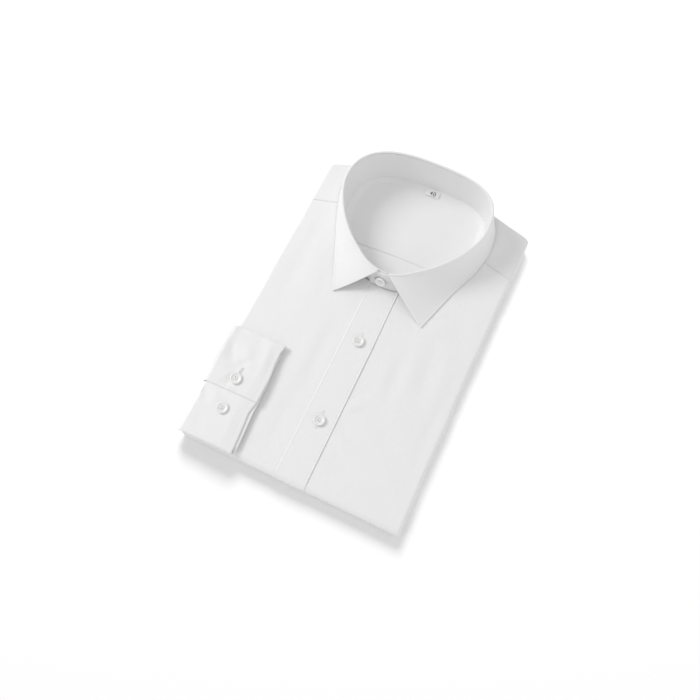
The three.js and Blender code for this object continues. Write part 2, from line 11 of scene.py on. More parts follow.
import bpy
import numpy as np
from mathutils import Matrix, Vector


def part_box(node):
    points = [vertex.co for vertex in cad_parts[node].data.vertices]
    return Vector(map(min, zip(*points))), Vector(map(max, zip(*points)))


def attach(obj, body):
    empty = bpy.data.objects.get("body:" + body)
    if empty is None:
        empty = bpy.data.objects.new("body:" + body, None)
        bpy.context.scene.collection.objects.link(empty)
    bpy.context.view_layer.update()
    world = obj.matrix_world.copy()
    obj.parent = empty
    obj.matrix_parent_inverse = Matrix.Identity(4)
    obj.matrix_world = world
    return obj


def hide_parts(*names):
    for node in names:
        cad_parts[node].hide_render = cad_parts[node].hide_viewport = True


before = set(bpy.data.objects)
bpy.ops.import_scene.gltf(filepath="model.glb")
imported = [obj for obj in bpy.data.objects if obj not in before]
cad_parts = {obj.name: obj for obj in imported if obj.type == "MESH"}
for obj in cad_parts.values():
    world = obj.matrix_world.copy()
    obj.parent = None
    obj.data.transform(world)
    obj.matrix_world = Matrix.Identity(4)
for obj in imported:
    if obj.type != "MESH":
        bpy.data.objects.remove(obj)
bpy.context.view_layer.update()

# %% [markdown]
# The garment frame has x = 0 on the centre line, 0.5 mm beside the middle of the placket, and y = 0 at the
# bottom fold, where the fronts end. Both can be read from the CAD nodes, so nothing has to be fitted.

# %% Where the garment frame lies
MM = 0.001
PLACKET_MIDDLE = 0.5
placket_low, placket_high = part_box("placket")
front_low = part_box("front_left")[0]
GARMENT_ORIGIN = np.array([
    (placket_low[0] + placket_high[0]) / 2 - PLACKET_MIDDLE * MM,
    front_low[1],
    0.0,
])
print("garment origin, mm:", (GARMENT_ORIGIN / MM).round(3))

# %% [markdown]
# The driving sizes of the folded shirt. `PACK` is the thickness of the upper and of the lower pack of layers,
# and the other forms are worked out from the two packs.

# %% Driving sizes, in millimetres
HALF_WIDTH = 118.0  # centre line to a side fold
PACK = 7.5  # thickness of each folded pack
CURL = PACK / 2  # radius of a side fold
FLAT = HALF_WIDTH - CURL  # where the side fold starts to turn
TUCK = 20.0  # cloth that shows under a side fold
CROWN = 2.5  # rise of the chest towards the collar
GAP = 0.3  # room between neighbouring pieces
SEAM_SIDE_Y, SEAM_SLOPE = 292.0, 0.268
SHOULDER_SIDE_Y, SHOULDER_SLOPE, SHOULDER_TOP_Y = 347.0, 0.28, 370.0
BACK_SEAM_Y = 269.5
TAIL_END_Y = 341.0
FLOOR_Z = PACK + 2.9  # cloth seen inside the neck
CLOTH = 0.4  # one sewn panel as it shows
FUSED = 1.1  # collar and cuff cloth with its interlining
print(f"{2 * HALF_WIDTH:.0f} mm wide, two packs of {PACK} mm, cloth of {CLOTH} and {FUSED} mm")

# %% [markdown]
# Every form here is a grid of numbers, so a few helpers come first: a mix of two values, a soft step, points
# along a line, and shares that lie closer together near an edge. A turned edge of cloth is rounded within half a
# millimetre, so that is where a grid needs its points. Even spacing would need ten times as many.

# %% Interpolation helpers
def lerp(a, b, t):
    return a + (b - a) * t


def smooth(value, low, high):
    t = np.clip((value - low) / (high - low), 0, 1)
    return t * t * (3 - 2 * t)


def along(points, share):
    """Points at shares of a polyline's length."""
    points = np.asarray(points, float)
    length = np.concatenate([[0], np.cumsum(np.linalg.norm(np.diff(points, axis=0), axis=1))])
    return np.stack([np.interp(np.asarray(share) * length[-1], length, points[:, k])
                     for k in range(points.shape[1])], axis=-1)


def spaced(count, length, near=(0.12, 0.35, 0.7, 1.2, 1.8, 2.4, 3.2, 4.2), start=True, stop=True):
    """Shares from 0 to 1, closer together near an edge, where cloth is turned and stitched."""
    near = np.array(near) / length
    low = near[-1] if start else 0
    high = 1 - near[-1] if stop else 1
    middle = np.linspace(low, high, count)
    head = [0, *near[:-1]] if start else []
    tail = [*(1 - near[:-1][::-1]), 1] if stop else []
    return np.array([*head, *middle, *tail])


def joined(*values):
    """Points, or places on a UV map, from coordinates whose shapes fit together."""
    return np.stack(np.broadcast_arrays(*values), axis=-1)


print("shares across a band of 32 mm:", spaced(3, 32).round(3))

# %% [markdown]
# Cloth that has been folded by hand keeps soft marks: shallow troughs with a low ridge beside them. Each one
# is listed as a line with a width and a depth, because a single noise texture looks like crumpled paper. They
# are uneven in length and depth, and they fade out at both ends.

# %% Soft creases of the chest
CREASES = [  # start x, y, end x, y, half width, height (negative is a trough)
    # the wearer's right side
    (-30, 176, -27, 92, 7, -0.58), (-44, 168, -40, 96, 9, 0.43), (-46, 40, -40, 128, 7, 0.43),
    (-62, 262, -56, 196, 10, -0.58), (-72, 236, -66, 168, 9, 0.4), (-98, 270, -92, 160, 11, -0.72),
    (-84, 258, -80, 186, 8, 0.36), (-106, 290, -102, 214, 7, 0.43), (-34, 78, -30, 22, 8, -0.5),
    (-21, 182, -19, 150, 4.5, -0.32),
    # the wearer's left side, with the short ones that start at the placket
    (22, 105, 36, 116, 4.6, -0.58), (19, 86, 35, 104, 4.4, 0.61), (20, 76, 34, 68, 5.2, -0.54),
    (24, 60, 46, 50, 6, 0.36), (28, 40, 58, 26, 8, -0.43), (50, 168, 54, 110, 7, -0.65),
    (40, 160, 42, 120, 6, 0.36), (64, 182, 66, 120, 8, 0.47), (74, 200, 84, 128, 8.5, -0.68),
    (94, 190, 98, 110, 8, 0.43), (60, 196, 78, 214, 7, 0.36), (84, 250, 100, 186, 9, -0.5),
    (72, 236, 84, 206, 7, -0.36), (104, 140, 108, 58, 7, -0.5), (62, 104, 92, 88, 8, 0.36),
    (56, 84, 88, 70, 8, -0.4), (70, 52, 102, 34, 9, 0.36), (78, 30, 104, 18, 7, -0.36),
    # the yoke
    (-104, 340, -80, 306, 9, -0.54), (-92, 346, -70, 318, 7, 0.45), (92, 340, 84, 306, 6, 0.63),
    (104, 332, 92, 300, 6.5, -0.68), (112, 318, 104, 290, 6, 0.45), (76, 330, 84, 312, 6, -0.45),
    # the pull of the placket's two buttons
    (0.5, 158, 2.5, 160, 6.2, -0.95), (0.5, 67, 2.5, 69, 6.2, -0.95),
]


def creases(x, y, listed=CREASES):
    total = np.zeros(np.broadcast(x, y).shape)
    for x0, y0, x1, y1, width, height in listed:
        dx, dy = x1 - x0, y1 - y0
        t = np.clip(((x - x0) * dx + (y - y0) * dy) / (dx * dx + dy * dy), 0, 1)
        distance = np.hypot(x - x0 - t * dx, y - y0 - t * dy)
        total += height * np.exp(-(distance / width) ** 2) * np.sin(np.pi * (0.1 + 0.8 * t))
    return total


print(f"{len(CREASES)} creases on the chest, from {min(c[5] for c in CREASES)} to {max(c[5] for c in CREASES)} mm")


def ripple(a, *waves):
    """Sum of sines that never repeats along an edge: (wavelength, height, phase)."""
    return sum(height * np.sin(2 * np.pi * a / length + phase) for length, height, phase in waves)


# %% [markdown]
# The packs. `on_pack` puts a point of cloth at a height over the plane between the two packs: on top, round
# the bottom fold, or beneath. The top follows a crown that rises towards the collar.

# %% Form of the two packs
CROWN_RISES, CROWN_FALLS = (20, 210), (305, 365)  # from y to y
CUFF_REACH = dict(x=(-64, -50), y=(118, 136))  # where the cuff's pressing fades out
WIDER, LOWER = 2.4, 2.6  # at the wearer's left and right shoulder


def upper_pack(x, y):
    middle = np.maximum(1 - (x / HALF_WIDTH) ** 2, 0)
    return PACK + CROWN * middle * smooth(y, *CROWN_RISES) * (1 - 0.7 * smooth(y, *CROWN_FALLS))


def top_z(x, y):
    return PACK + upper_pack(x, y)


def marks(x, y):
    """Height of the soft creases, less where the cuff presses on the chest."""
    under_cuff = (1 - smooth(x, *CUFF_REACH["x"])) * (1 - smooth(y, *CUFF_REACH["y"]))
    return creases(x, y) * (1 - 0.8 * under_cuff)


def on_pack(x, y, h, turn, relief=0.0):
    """A point at height h over the middle plane, after a turn round the bottom fold."""
    x, y, h, turn = np.broadcast_arrays(np.asarray(x, float), y, h, turn)
    top, beneath = turn <= 0, turn >= np.pi
    flat_y = np.where(top | beneath, y, PACK - h * np.sin(turn))
    high = PACK + h * upper_pack(x, y) / PACK + relief * smooth(h, CURL, PACK)
    z = np.where(top, high, np.where(beneath, PACK - h, PACK + h * np.cos(turn)))
    return np.stack([x, flat_y, z], axis=-1)


def seam_y(x):
    return SEAM_SIDE_Y + (HALF_WIDTH - np.abs(x)) * SEAM_SLOPE


def shoulder_y(x):
    return np.minimum(SHOULDER_SIDE_Y + (HALF_WIDTH - np.abs(x)) * SHOULDER_SLOPE, SHOULDER_TOP_Y)


def side_fold(share, end_angle, tuck, squash=1.0):
    """Section of a side fold: share 0 is on top, 1 the end of the turn, and 2 the end of the tuck."""
    angle = end_angle * np.minimum(share, 1)
    beyond = np.clip(share - 1, 0, 1) * tuck
    x = FLAT + CURL * squash * np.sin(angle) + np.cos(angle) * beyond
    h = CURL + CURL * squash * np.cos(angle) - np.sin(angle) * beyond
    return x, np.maximum(h, GAP / 2)


print("top of the chest, mm:", [round(float(top_z(0, y)), 2) for y in (20, 100, 200)])
FOLD_SHARE = np.concatenate([np.linspace(0, 1, 21)[1:], 1 + spaced(7, TUCK, start=False)[1:]])[:, None]


def settled(points):
    """The folded body isn't quite square: wider at the wearer's left shoulder, lower at the right one."""
    x, y = points[..., 0], points[..., 1]
    moved = points.copy()
    moved[..., 0] = x + WIDER * smooth(x, 92, HALF_WIDTH) * smooth(y, 150, 340)
    moved[..., 1] = y - LOWER * smooth(-x, 86, HALF_WIDTH) * smooth(y, 300, 345)
    wave = ripple(y, (97, 0.3, 0.4), (41, 0.12, 2.1), (17, 0.05, 0.9))
    moved[..., 0] += np.sign(x) * wave * smooth(np.abs(x), 100, HALF_WIDTH)
    return moved


# %% [markdown]
# Every panel is a grid of points on its outer face. `cloth_shell` gives it a thickness and closes its edges.
# The wall thins to a rounded edge over its last millimetre, as a turned seam does, and the shell keeps a UV
# map in metres along the threads, so that a weave follows the cloth round every fold.

# %% Closed shells of cloth
EDGE_SHARE = 0.25  # thickness left at an edge, as a share of the cloth's
CUT_AT = dict(placket=200, front_left=400, yoke=700, neck=900)  # where on the cloth a panel is cut, in millimetres


def normals_of(face):
    du = np.gradient(face, axis=0)
    dv = np.gradient(face, axis=1)
    normal = np.cross(du, dv)
    return normal / np.maximum(np.linalg.norm(normal, axis=-1, keepdims=True), 1e-9)


def reach(face, axis):
    """Distance along the cloth from the first row, and from the last one."""
    step = np.linalg.norm(np.diff(face, axis=axis), axis=-1)
    zero = np.zeros_like(np.take(step, [0], axis=axis))
    length = np.concatenate([zero, np.cumsum(step, axis=axis)], axis=axis)
    return length, np.take(length, [-1], axis=axis) - length


def add_object(name, data):
    made = bpy.data.objects.new(name, data)
    bpy.context.scene.collection.objects.link(made)
    return made


def applied(piece):
    """Turn what an object's modifiers make into its own mesh."""
    graph = bpy.context.evaluated_depsgraph_get()
    mesh = bpy.data.meshes.new_from_object(piece.evaluated_get(graph))
    piece.modifiers.clear()
    piece.data = mesh
    return piece


def mesh_object(name, points, faces, uv=None, edges=()):
    """An object from points in the garment frame, with a UV map in metres."""
    mesh = bpy.data.meshes.new(name)
    mesh.from_pydata((points * MM + GARMENT_ORIGIN).tolist(), edges, [tuple(f) for f in faces])
    mesh.polygons.foreach_set("use_smooth", [True] * len(mesh.polygons))
    if uv is not None:
        loops = np.empty(len(mesh.loops), dtype=np.int32)
        mesh.loops.foreach_get("vertex_index", loops)
        mesh.uv_layers.new(name="cloth").data.foreach_set("uv", (uv[loops] * MM).ravel())
    mesh.update()
    return add_object(name, mesh)


def cloth_shell(name, face, thick, inward=1, uv=None):
    """A closed shell behind a grid of points; inward is the sign that turns the grid's normals into the cloth."""
    columns, rows = face.shape[:2]
    count = columns * rows
    normal = normals_of(face) * inward
    from_start, from_end = reach(face, 0)
    from_first, from_last = reach(face, 1)
    edge = np.minimum(np.minimum(from_start, from_end), np.minimum(from_first, from_last))
    share = np.clip(edge / thick, 0, 1)
    full = lerp(EDGE_SHARE, 1, np.sqrt(1 - (1 - share) ** 2))
    inset = (thick * (1 - full) / 2)[..., None]
    outer = face + normal * inset
    inner = face + normal * (thick - inset)
    if uv is None:
        uv = np.stack([from_start, from_first], axis=-1)
    index = np.arange(count).reshape(columns, rows)
    a, b, c, d = index[:-1, :-1], index[1:, :-1], index[1:, 1:], index[:-1, 1:]
    front = np.stack([a, b, c, d], axis=-1).reshape(-1, 4)
    back = front[:, ::-1] + count
    rim = np.concatenate([index[:, 0], index[-1, 1:], index[-2::-1, -1], index[0, -2:0:-1]])
    ahead = np.roll(rim, -1)
    edges = np.stack([ahead, rim, rim + count, ahead + count], axis=-1)
    faces = np.concatenate([front, back, edges])
    points = np.concatenate([outer.reshape(-1, 3), inner.reshape(-1, 3)])
    corner = points[faces]
    volume = np.einsum("ij,ij->i", corner[:, 0], np.cross(corner[:, 1], corner[:, 2])).sum()
    volume += np.einsum("ij,ij->i", corner[:, 0], np.cross(corner[:, 2], corner[:, 3])).sum()
    if volume < 0:
        faces = faces[:, ::-1]
    piece = mesh_object(name, points, faces, np.tile(uv.reshape(-1, 2), (2, 1)))
    diagonals = np.cross(face[1:, 1:] - face[:-1, :-1], face[:-1, 1:] - face[1:, :-1])
    area = np.linalg.norm(diagonals, axis=-1).sum() / 2
    print(f"{name}: {2 * len(faces)} triangles, {area * MM * MM:.4f} m2")
    return piece


# %% [markdown]
# The neckline and the roll line are two eggs, with their own power for each quarter. The panels end at the
# neckline, and the stand rises from it to the roll line.

# %% Neckline and roll line
NECK = dict(x=-2, y=312, half=76, front=85, back=50.5, front_powers=(2.1, 2.1), back_powers=(3.5, 2.7))
ROLL_LINE = dict(x=-4, y=312, half=79.3, front=79.5, back=50, front_powers=(1.5, 1.62), back_powers=(3, 2.4))
RIM_FRONT_Z, RIM_BACK_Z = 42.0, 60.0
STAND = 1.6  # thickness of the stand
NECK_ROUND = 440.0  # length of the neckline
STAND_OVERLAP = 13 / NECK_ROUND
ROLL = 1.35  # radius of the roll
ring_share = np.linspace(0, 1, 721)


def egg(shape, share):
    angle = share * 2 * np.pi
    s, c = np.sin(angle), np.cos(angle)
    powers = np.where(c > 0, np.where(s > 0, *shape["front_powers"]), np.where(s > 0, *shape["back_powers"]))
    depth = np.where(c > 0, shape["front"], shape["back"])
    x = shape["x"] + shape["half"] * np.sign(s) * np.abs(s) ** (2 / powers)
    return np.stack([x, shape["y"] - depth * np.sign(c) * np.abs(c) ** (2 / powers)], axis=-1)


def egg_line(shape, grow):
    """The egg's outline, grown by a distance, with evenly spaced points."""
    line = egg(shape, ring_share)[:-1]
    step = np.roll(line, -1, axis=0) - np.roll(line, 1, axis=0)
    step /= np.linalg.norm(step, axis=-1, keepdims=True)
    moved = line + grow * np.stack([step[:, 1], -step[:, 0]], axis=-1)
    return along(np.concatenate([moved, moved[:1]]), ring_share)


def crossed(share):
    """1 near the centre front, where the stand's ends lie over each other."""
    return 1 - smooth(share, STAND_OVERLAP, 3.2 * STAND_OVERLAP)


def neck_ratio(x, y):
    """1 on the neckline, less inside it."""
    dx, dy = (x - NECK["x"]) / NECK["half"], y - NECK["y"]
    depth = np.where(dy < 0, NECK["front"], NECK["back"])
    (front_l, front_r), (back_l, back_r) = NECK["front_powers"], NECK["back_powers"]
    power = np.where(dy < 0, np.where(dx > 0, front_l, front_r), np.where(dx > 0, back_l, back_r))
    return (np.abs(dx) ** power + np.abs(dy / depth) ** power) ** (1 / power)


SEAM_IN = 0.3  # the panels' edges run this far into the stand, where they are sewn in
ring_front = np.where(ring_share < 0.5, ring_share, 1 - ring_share)
neck_close = egg_line(NECK, STAND / 2 - SEAM_IN)
neck_far = egg_line(NECK, STAND / 2 + STAND + GAP - SEAM_IN)
neck_edge = lerp(neck_close, neck_far, crossed(ring_front)[:, None])
neck_middle = egg_line(NECK, 0)
roll_middle = egg_line(ROLL_LINE, 0)
for line_name, line in (("neckline", neck_middle), ("roll line", roll_middle)):
    print(f"{line_name}: {np.linalg.norm(np.diff(line, axis=0), axis=1).sum():.0f} mm round")


def round_at(line, share):
    place = np.mod(share, 1) * (len(line) - 1)
    return np.stack([np.interp(place, np.arange(len(line)), line[:, k]) for k in range(2)], axis=-1)


def rim_z(y):
    far_back = smooth(y, ROLL_LINE["y"] - ROLL_LINE["front"], ROLL_LINE["y"] + ROLL_LINE["back"])
    return lerp(RIM_FRONT_Z, RIM_BACK_Z, far_back)


def outward(share):
    """Level way out of the roll line."""
    step = round_at(roll_middle, share + 0.004) - round_at(roll_middle, share - 0.004)
    step /= np.linalg.norm(step, axis=-1, keepdims=True)
    return np.stack([step[..., 1], -step[..., 0], np.zeros(step.shape[:-1])], axis=-1)


# %% [markdown]
# The two fronts and the placket run from the collar down the chest, round the bottom fold and back beneath.
# They share one list of rows: how far a row has turned round the fold, and its share of the length.

# %% Rows down a front or the placket
CUFF_HIGH = 122.5
PLACKET_LEFT, PLACKET_RIGHT, PLACKET_RISE = -14.7, 18.4, 0.65
PLACKET_SINKS, PLACKET_NARROWS = 0.28, 0.8  # towards the collar
PLACKET_FALLS = 0.55  # how far its edge towards the wearer's right lies lower


def rows_down(top_count, tail_count):
    """How far a row has turned round the bottom fold, and its share of the length before or after it."""
    top_rows, fold_rows = spaced(top_count, 260, stop=False), np.linspace(0, np.pi, 19)[1:-1]
    turn = np.concatenate([np.zeros(len(top_rows)), fold_rows, np.full(tail_count, np.pi)])
    share = np.concatenate([top_rows, np.ones(len(fold_rows)), np.linspace(0, 1, tail_count)])
    return turn, share, turn <= 0, turn >= np.pi


def length_down(y, row_turn, row_top, row_tail):
    """Distance down the cloth and round the bottom fold."""
    return np.where(row_top, -y, PACK * (row_turn - 1) + np.where(row_tail, y, 0))


# %% [markdown]
# A front is one grid, from the placket's edge to the end of the tuck under the side fold. A flat sheet with a
# bend modifier could make one fold, but here two folds meet at the corner, so the side fold's section is laid
# round the bottom fold in code. The wearer's right side fold stays open under the cuff, because the sleeve
# comes out between the packs there.

# %% Fronts
TAIL_CREASES = [
    (-80, 300, -60, 190, 11, 0.7), (-30, 250, -46, 120, 9, 0.6), (60, 310, 40, 200, 10, 0.7),
    (84, 150, 70, 60, 9, 0.5), (30, 110, 52, 40, 8, 0.5), (-90, 120, -70, 50, 9, 0.5),
]
UNDER_PLACKET, UNDER_YOKE = 2.5, 1.0  # how far a front runs on under its neighbours
NECK_SHARE = 0.75  # the neckline's share of a front's columns
SIDES = {  # the wearer's left and right: placket's edge, dip under it, how far up and how wide the side fold is open
    1: (PLACKET_RIGHT, 0.10, PACK + 2, 110),
    -1: (PLACKET_LEFT, 0.05, CUFF_HIGH + 13, 65),
}


def yoke_step(x, y, row_top):
    """A front lies lower where it runs on under the yoke."""
    return 0.45 * (1 - smooth(seam_y(x) - y, 0.4, 2.2)) * row_top


def front_fold(side, rows, tail_y, open_to, open_angle):
    """A front's side fold and tuck, open as far up as the sleeve needs."""
    row_turn, row_share, row_top, row_tail = rows
    lap_end = seam_y(HALF_WIDTH) + lerp(UNDER_YOKE, -GAP, smooth(FOLD_SHARE, 0, 0.5))
    y = np.where(row_tail, tail_y, lerp(lap_end, PACK, row_share))
    opening = np.where(row_tail, PACK, open_to)
    turning = ~row_top & ~row_tail
    shut = np.where(turning, 0, smooth(y, opening, opening + 25))
    tuck_from, tuck_to = np.where(row_tail, 70, 36), np.where(row_tail, 110, 60)
    tucked = np.where(turning, 0, smooth(y, opening + tuck_from, opening + tuck_to))
    x, h = side_fold(FOLD_SHARE, np.radians(lerp(open_angle, 180, shut)), lerp(0.6, TUCK, tucked))
    return on_pack(side * x, y, h, row_turn, -yoke_step(x, y, row_top))


def front_grid(side):
    row_turn, row_share, row_top, row_tail = rows = rows_down(120, 70)
    edge, dip, *open_side = SIDES[side]
    line = neck_edge if side > 0 else neck_edge[::-1]
    start = np.argmax((line[:, 0] - edge) * side > GAP)
    stop = np.argmax(line[:, 1] > seam_y(line[:, 0]) + UNDER_YOKE)
    neckline = line[start:stop + 1]
    corner = neckline[-1]
    share = spaced(70, 98, stop=False)
    on_neck = along(neckline, np.clip(share / NECK_SHARE, 0, 1))
    seam_x = lerp(corner[0], side * FLAT, np.clip((share - NECK_SHARE) / (1 - NECK_SHARE), 0, 1))
    on_seam = np.stack([seam_x, seam_y(seam_x) + UNDER_YOKE], axis=-1)
    tops = np.where((share <= NECK_SHARE)[:, None], on_neck, on_seam)
    first_x = edge - side * UNDER_PLACKET
    near_band = np.clip(share / 0.08, 0, 1)  # the first columns reach in under the placket
    tops[:, 0] = lerp(first_x, tops[:, 0], near_band)
    bottom_x = lerp(first_x, side * FLAT, share)[:, None]
    tail_y = lerp(PACK, TAIL_END_Y, row_share)
    x = np.where(row_top, lerp(tops[:, :1], bottom_x, row_share), bottom_x)
    y = np.where(row_tail, tail_y, lerp(tops[:, 1:], PACK, row_share))
    under_band = dip * (1 - smooth((x - edge) * side, -0.3, 0.7)) * row_top
    relief = marks(x, y) * (1 - smooth(np.abs(x), 104, FLAT)) - yoke_step(x, y, row_top) - under_band
    flat = on_pack(x, y, PACK, row_turn, relief)
    flat[..., 2] += np.where(row_tail, np.maximum(creases(x, y, TAIL_CREASES), 0), 0)
    face = settled(np.concatenate([flat, front_fold(side, rows, tail_y, *open_side)]))
    last = len(flat) - 1
    run = reach(face, 0)[0]
    across = np.concatenate([side * flat[..., 0], FLAT + run[last + 1:] - run[last]])
    down = length_down(np.where(row_tail, tail_y, face[..., 1]), row_turn, row_top, row_tail)
    return face, joined(across + CUT_AT["front_left"] * (side > 0), down)


(right_face, right_uv), (left_face, left_uv) = front_grid(-1), front_grid(1)
front_right = cloth_shell("front_right_cloth", right_face, CLOTH, -1, right_uv)
front_left = cloth_shell("front_left_cloth", left_face, CLOTH, 1, left_uv)

# %% [markdown]
# Each seam and each folded edge is stitched a few millimetres inside it. The stitching pulls a fine groove, the
# cloth between the groove and the edge stands up a little, and the seam puckers unevenly along its length.

# %% Stitched edges
def stitched(distance, at=2.0, puff=0.22, groove=0.28):
    """Relief beside a stitched edge, by the distance from it."""
    raised = puff * np.exp(-((distance - at / 2) / (0.45 * at)) ** 2)
    pulled = -groove * np.exp(-((distance - at) / 0.55) ** 2)
    return raised + pulled


def puckers(run, distance, at=2.0, height=0.09, spread=3.0, seed=0.0):
    """Small cross ripples along a stitched seam, uneven along it."""
    wave = ripple(run, (6.3, 1.0, seed), (9.7, 0.8, 1.7 * seed + 1), (4.1, 0.5, 2.3 * seed))
    swell = 0.6 + 0.4 * np.sin(run / 17 + seed)
    return height * wave * swell * np.exp(-((distance - at) / spread) ** 2)


print(f"deepest groove beside an edge: {stitched(np.linspace(0, 6, 61)).min():.2f} mm")

# %% [markdown]
# The placket is a band of the same poplin with an interlining, folded at both edges and stitched 2 mm inside
# them. It could be a relief of the front, but its edge is a step with a shadow under it, so it is a piece of its
# own on the front. The edge towards the wearer's right lies lower, and the other one stands up.

# %% Placket
def placket_grid():
    row_turn, row_share, row_top, row_tail = rows_down(250, 90)
    share = spaced(16, 32, (0.1, 0.25, 0.45, 0.7, 0.95, 1.2, 1.5, 1.8, 2.1, 2.4, 2.8, 3.4))
    x = lerp(PLACKET_LEFT, PLACKET_RIGHT, share)[:, None]
    ahead = neck_edge[neck_edge[:, 1] < NECK["y"]]
    order = np.argsort(ahead[:, 0])
    neck_y = np.interp(x, ahead[order, 0], ahead[order, 1])
    y = np.where(row_tail, lerp(PACK, TAIL_END_Y, row_share), lerp(neck_y, PACK, row_share))
    rise = PLACKET_RISE * (1 + np.cos(row_turn)) / 2 - PLACKET_SINKS * smooth(y, 150, 200) * row_top
    side_edge = np.minimum(x - PLACKET_LEFT, PLACKET_RIGHT - x)
    on_left = x < PLACKET_MIDDLE
    x = x - PLACKET_NARROWS * share[:, None] * smooth(y, 150, 212) * row_top
    run = y + np.where(row_tail, 50, 0)
    seam = np.where(on_left, stitched(side_edge, 2.2, 0.12, 0.07), stitched(side_edge, 2.0, 0.4, 0.25))
    fallen_left = PLACKET_FALLS * (1 - smooth(side_edge, -0.4, 1.9))
    drop = np.where(on_left, fallen_left, 0.2 * np.maximum(1 - side_edge / 0.6, 0) ** 2)
    seam = seam + puckers(run, side_edge, height=0.06, seed=0.6) - drop
    face = on_pack(x, y, PACK + rise, row_turn)
    face[..., 2] += np.where(row_top, seam + marks(x, y), np.where(row_tail, -np.minimum(seam, 0), 0))
    return face, joined(x + CUT_AT["placket"], length_down(y, row_turn, row_top, row_tail))


placket_face, placket_uv = placket_grid()
placket = cloth_shell("placket_band", placket_face, CLOTH, 1, placket_uv)

# %% [markdown]
# The yoke starts at the front seams and the neckline, and goes over the shoulder fold and a little way
# under it. Its front seams lie over the fronts, as a felled seam does.

# %% Yoke
YOKE_LAP = 0.9  # the seam's fold lies over the front
SEAM_END, NECK_END, COLUMNS_END = 3, 29, 32  # columns of the first seam, the neckline and the second seam
SHOULDER_CORNER = HALF_WIDTH - 36, HALF_WIDTH - 26  # from x to x, where the shoulder fold's turn changes
SIDE_TURN = 63  # degrees that the shoulder fold turns at the sides; in the middle it turns right round


def felled(distance):
    """The groove of a felled seam's stitching, and the rise over its layers."""
    return stitched(distance, 2.2, 0.1, 0.2), 0.08 * (1 - smooth(distance, 1.5, 5))


def yoke_sides(side, rows, turn, drop):
    """The yoke's side fold: its rows on top, round the shoulder fold and behind it."""
    start = seam_y(HALF_WIDTH) + GAP - YOKE_LAP * (1 - smooth(FOLD_SHARE, 0, 0.5))
    y_top = lerp(start, SHOULDER_SIDE_Y - CURL, rows)
    groove, lift = felled(np.maximum(y_top - start, 0))
    corner = turn * math.radians(SIDE_TURN)
    y_round = SHOULDER_SIDE_Y - CURL + CURL * np.sin(corner)
    y_last = lerp(y_round[:, -1:], SHOULDER_SIDE_Y - 0.1, drop)

    def section(y, squash=1.0, relief=0.0):
        x, h = side_fold(FOLD_SHARE, np.pi, TUCK, squash)
        return joined(side * x, y, PACK + h + relief)

    return np.concatenate([
        section(y_top, relief=(lift + groove) * np.exp(-(FOLD_SHARE * 2) ** 2)),
        section(y_round, np.cos(corner)),
        section(y_last, np.cos(np.radians(SIDE_TURN + 3 * drop))),
    ], axis=1)


def yoke_grid():
    behind = neck_edge[:, 1] > seam_y(neck_edge[:, 0]) + GAP
    around = neck_edge[np.argmax(behind):len(behind) - np.argmax(behind[::-1])]
    s = np.concatenate([np.linspace(0, SEAM_END, 24), np.linspace(SEAM_END, NECK_END, 190)[1:-1],
                        np.linspace(NECK_END, COLUMNS_END, 24)])
    inside = np.minimum(s - SEAM_END, NECK_END - s)  # columns from a seam's end, less than 0 on a seam
    x_first = lerp(FLAT, around[0, 0], np.clip(s / SEAM_END, 0, 1))
    x_last = lerp(around[-1, 0], -FLAT, np.clip((s - NECK_END) / (COLUMNS_END - NECK_END), 0, 1))
    on_neck = along(around, np.clip((s - SEAM_END) / (NECK_END - SEAM_END), 0, 1))
    start_x = np.where(s < SEAM_END, x_first, np.where(s > NECK_END, x_last, on_neck[:, 0]))
    start_y = np.where(inside < 0, seam_y(start_x) + GAP, on_neck[:, 1]) - YOKE_LAP * (1 - smooth(inside, 0, 0.5))
    start_x, start_y = start_x[:, None], start_y[:, None]
    fold_x = (start_x + lerp(FLAT, -FLAT, s / COLUMNS_END)[:, None]) / 2
    fold_y = shoulder_y(fold_x)
    wrap = 1 - smooth(np.abs(fold_x), *SHOULDER_CORNER)

    rows = spaced(26, 50, stop=False)[None, :]
    x, y = lerp(start_x, fold_x, rows), lerp(start_y, fold_y - CURL, rows)
    off_seam = np.maximum((y - seam_y(x) + YOKE_LAP - GAP) / np.hypot(1, SEAM_SLOPE), 0)
    beside_seam = 1 - smooth(inside, 0, 2.5)[:, None]
    groove, lift = felled(off_seam)
    seam = (groove + puckers(x, off_seam, 2.2, seed=1.9)) * beside_seam
    relief = marks(x, y) * (1 - smooth(np.abs(x), 104, FLAT)) + seam + lift * beside_seam
    turn = np.linspace(0, 1, 15)[None, 1:]
    angle = turn * np.radians(lerp(SIDE_TURN, 180, wrap))
    round_z = PACK + upper_pack(fold_x, fold_y) / 2 * (1 + np.cos(angle)) + GAP / 2
    flat_round = joined(fold_x, fold_y - CURL + CURL * np.sin(angle), round_z)
    drop = np.array([0.25, 0.5, 0.75, 0.9, 1.0])[None, :]
    under_y = flat_round[:, -1:, 1] - lerp(0.6, 9, wrap) * drop
    under_z = flat_round[:, -1:, 2] - lerp(0.6, 0, wrap) * drop
    flat = np.concatenate([joined(x, y, top_z(x, y) + relief), flat_round, joined(fold_x, under_y, under_z)], axis=1)

    left, right = (yoke_sides(side, rows, turn, drop) for side in (1, -1))
    face = settled(np.concatenate([left[::-1], flat, right]))
    # The threads of a yoke run across the shoulders.
    return face, joined(reach(face, 1)[0] + CUT_AT["yoke"], face[..., 0])


yoke_face, yoke_uv = yoke_grid()
yoke = cloth_shell("yoke_cloth", yoke_face, CLOTH, 1, yoke_uv)

# %% [markdown]
# Inside the neck the inner yoke and the back panel show, joined by a flat seam.

# %% Back and inner yoke, seen through the neck
FLOOR_RISE = 3.7  # to the back of the neck


def floor_z(y):
    return FLOOR_Z + FLOOR_RISE * smooth(y, NECK["y"] + 12, NECK["y"] + NECK["back"])


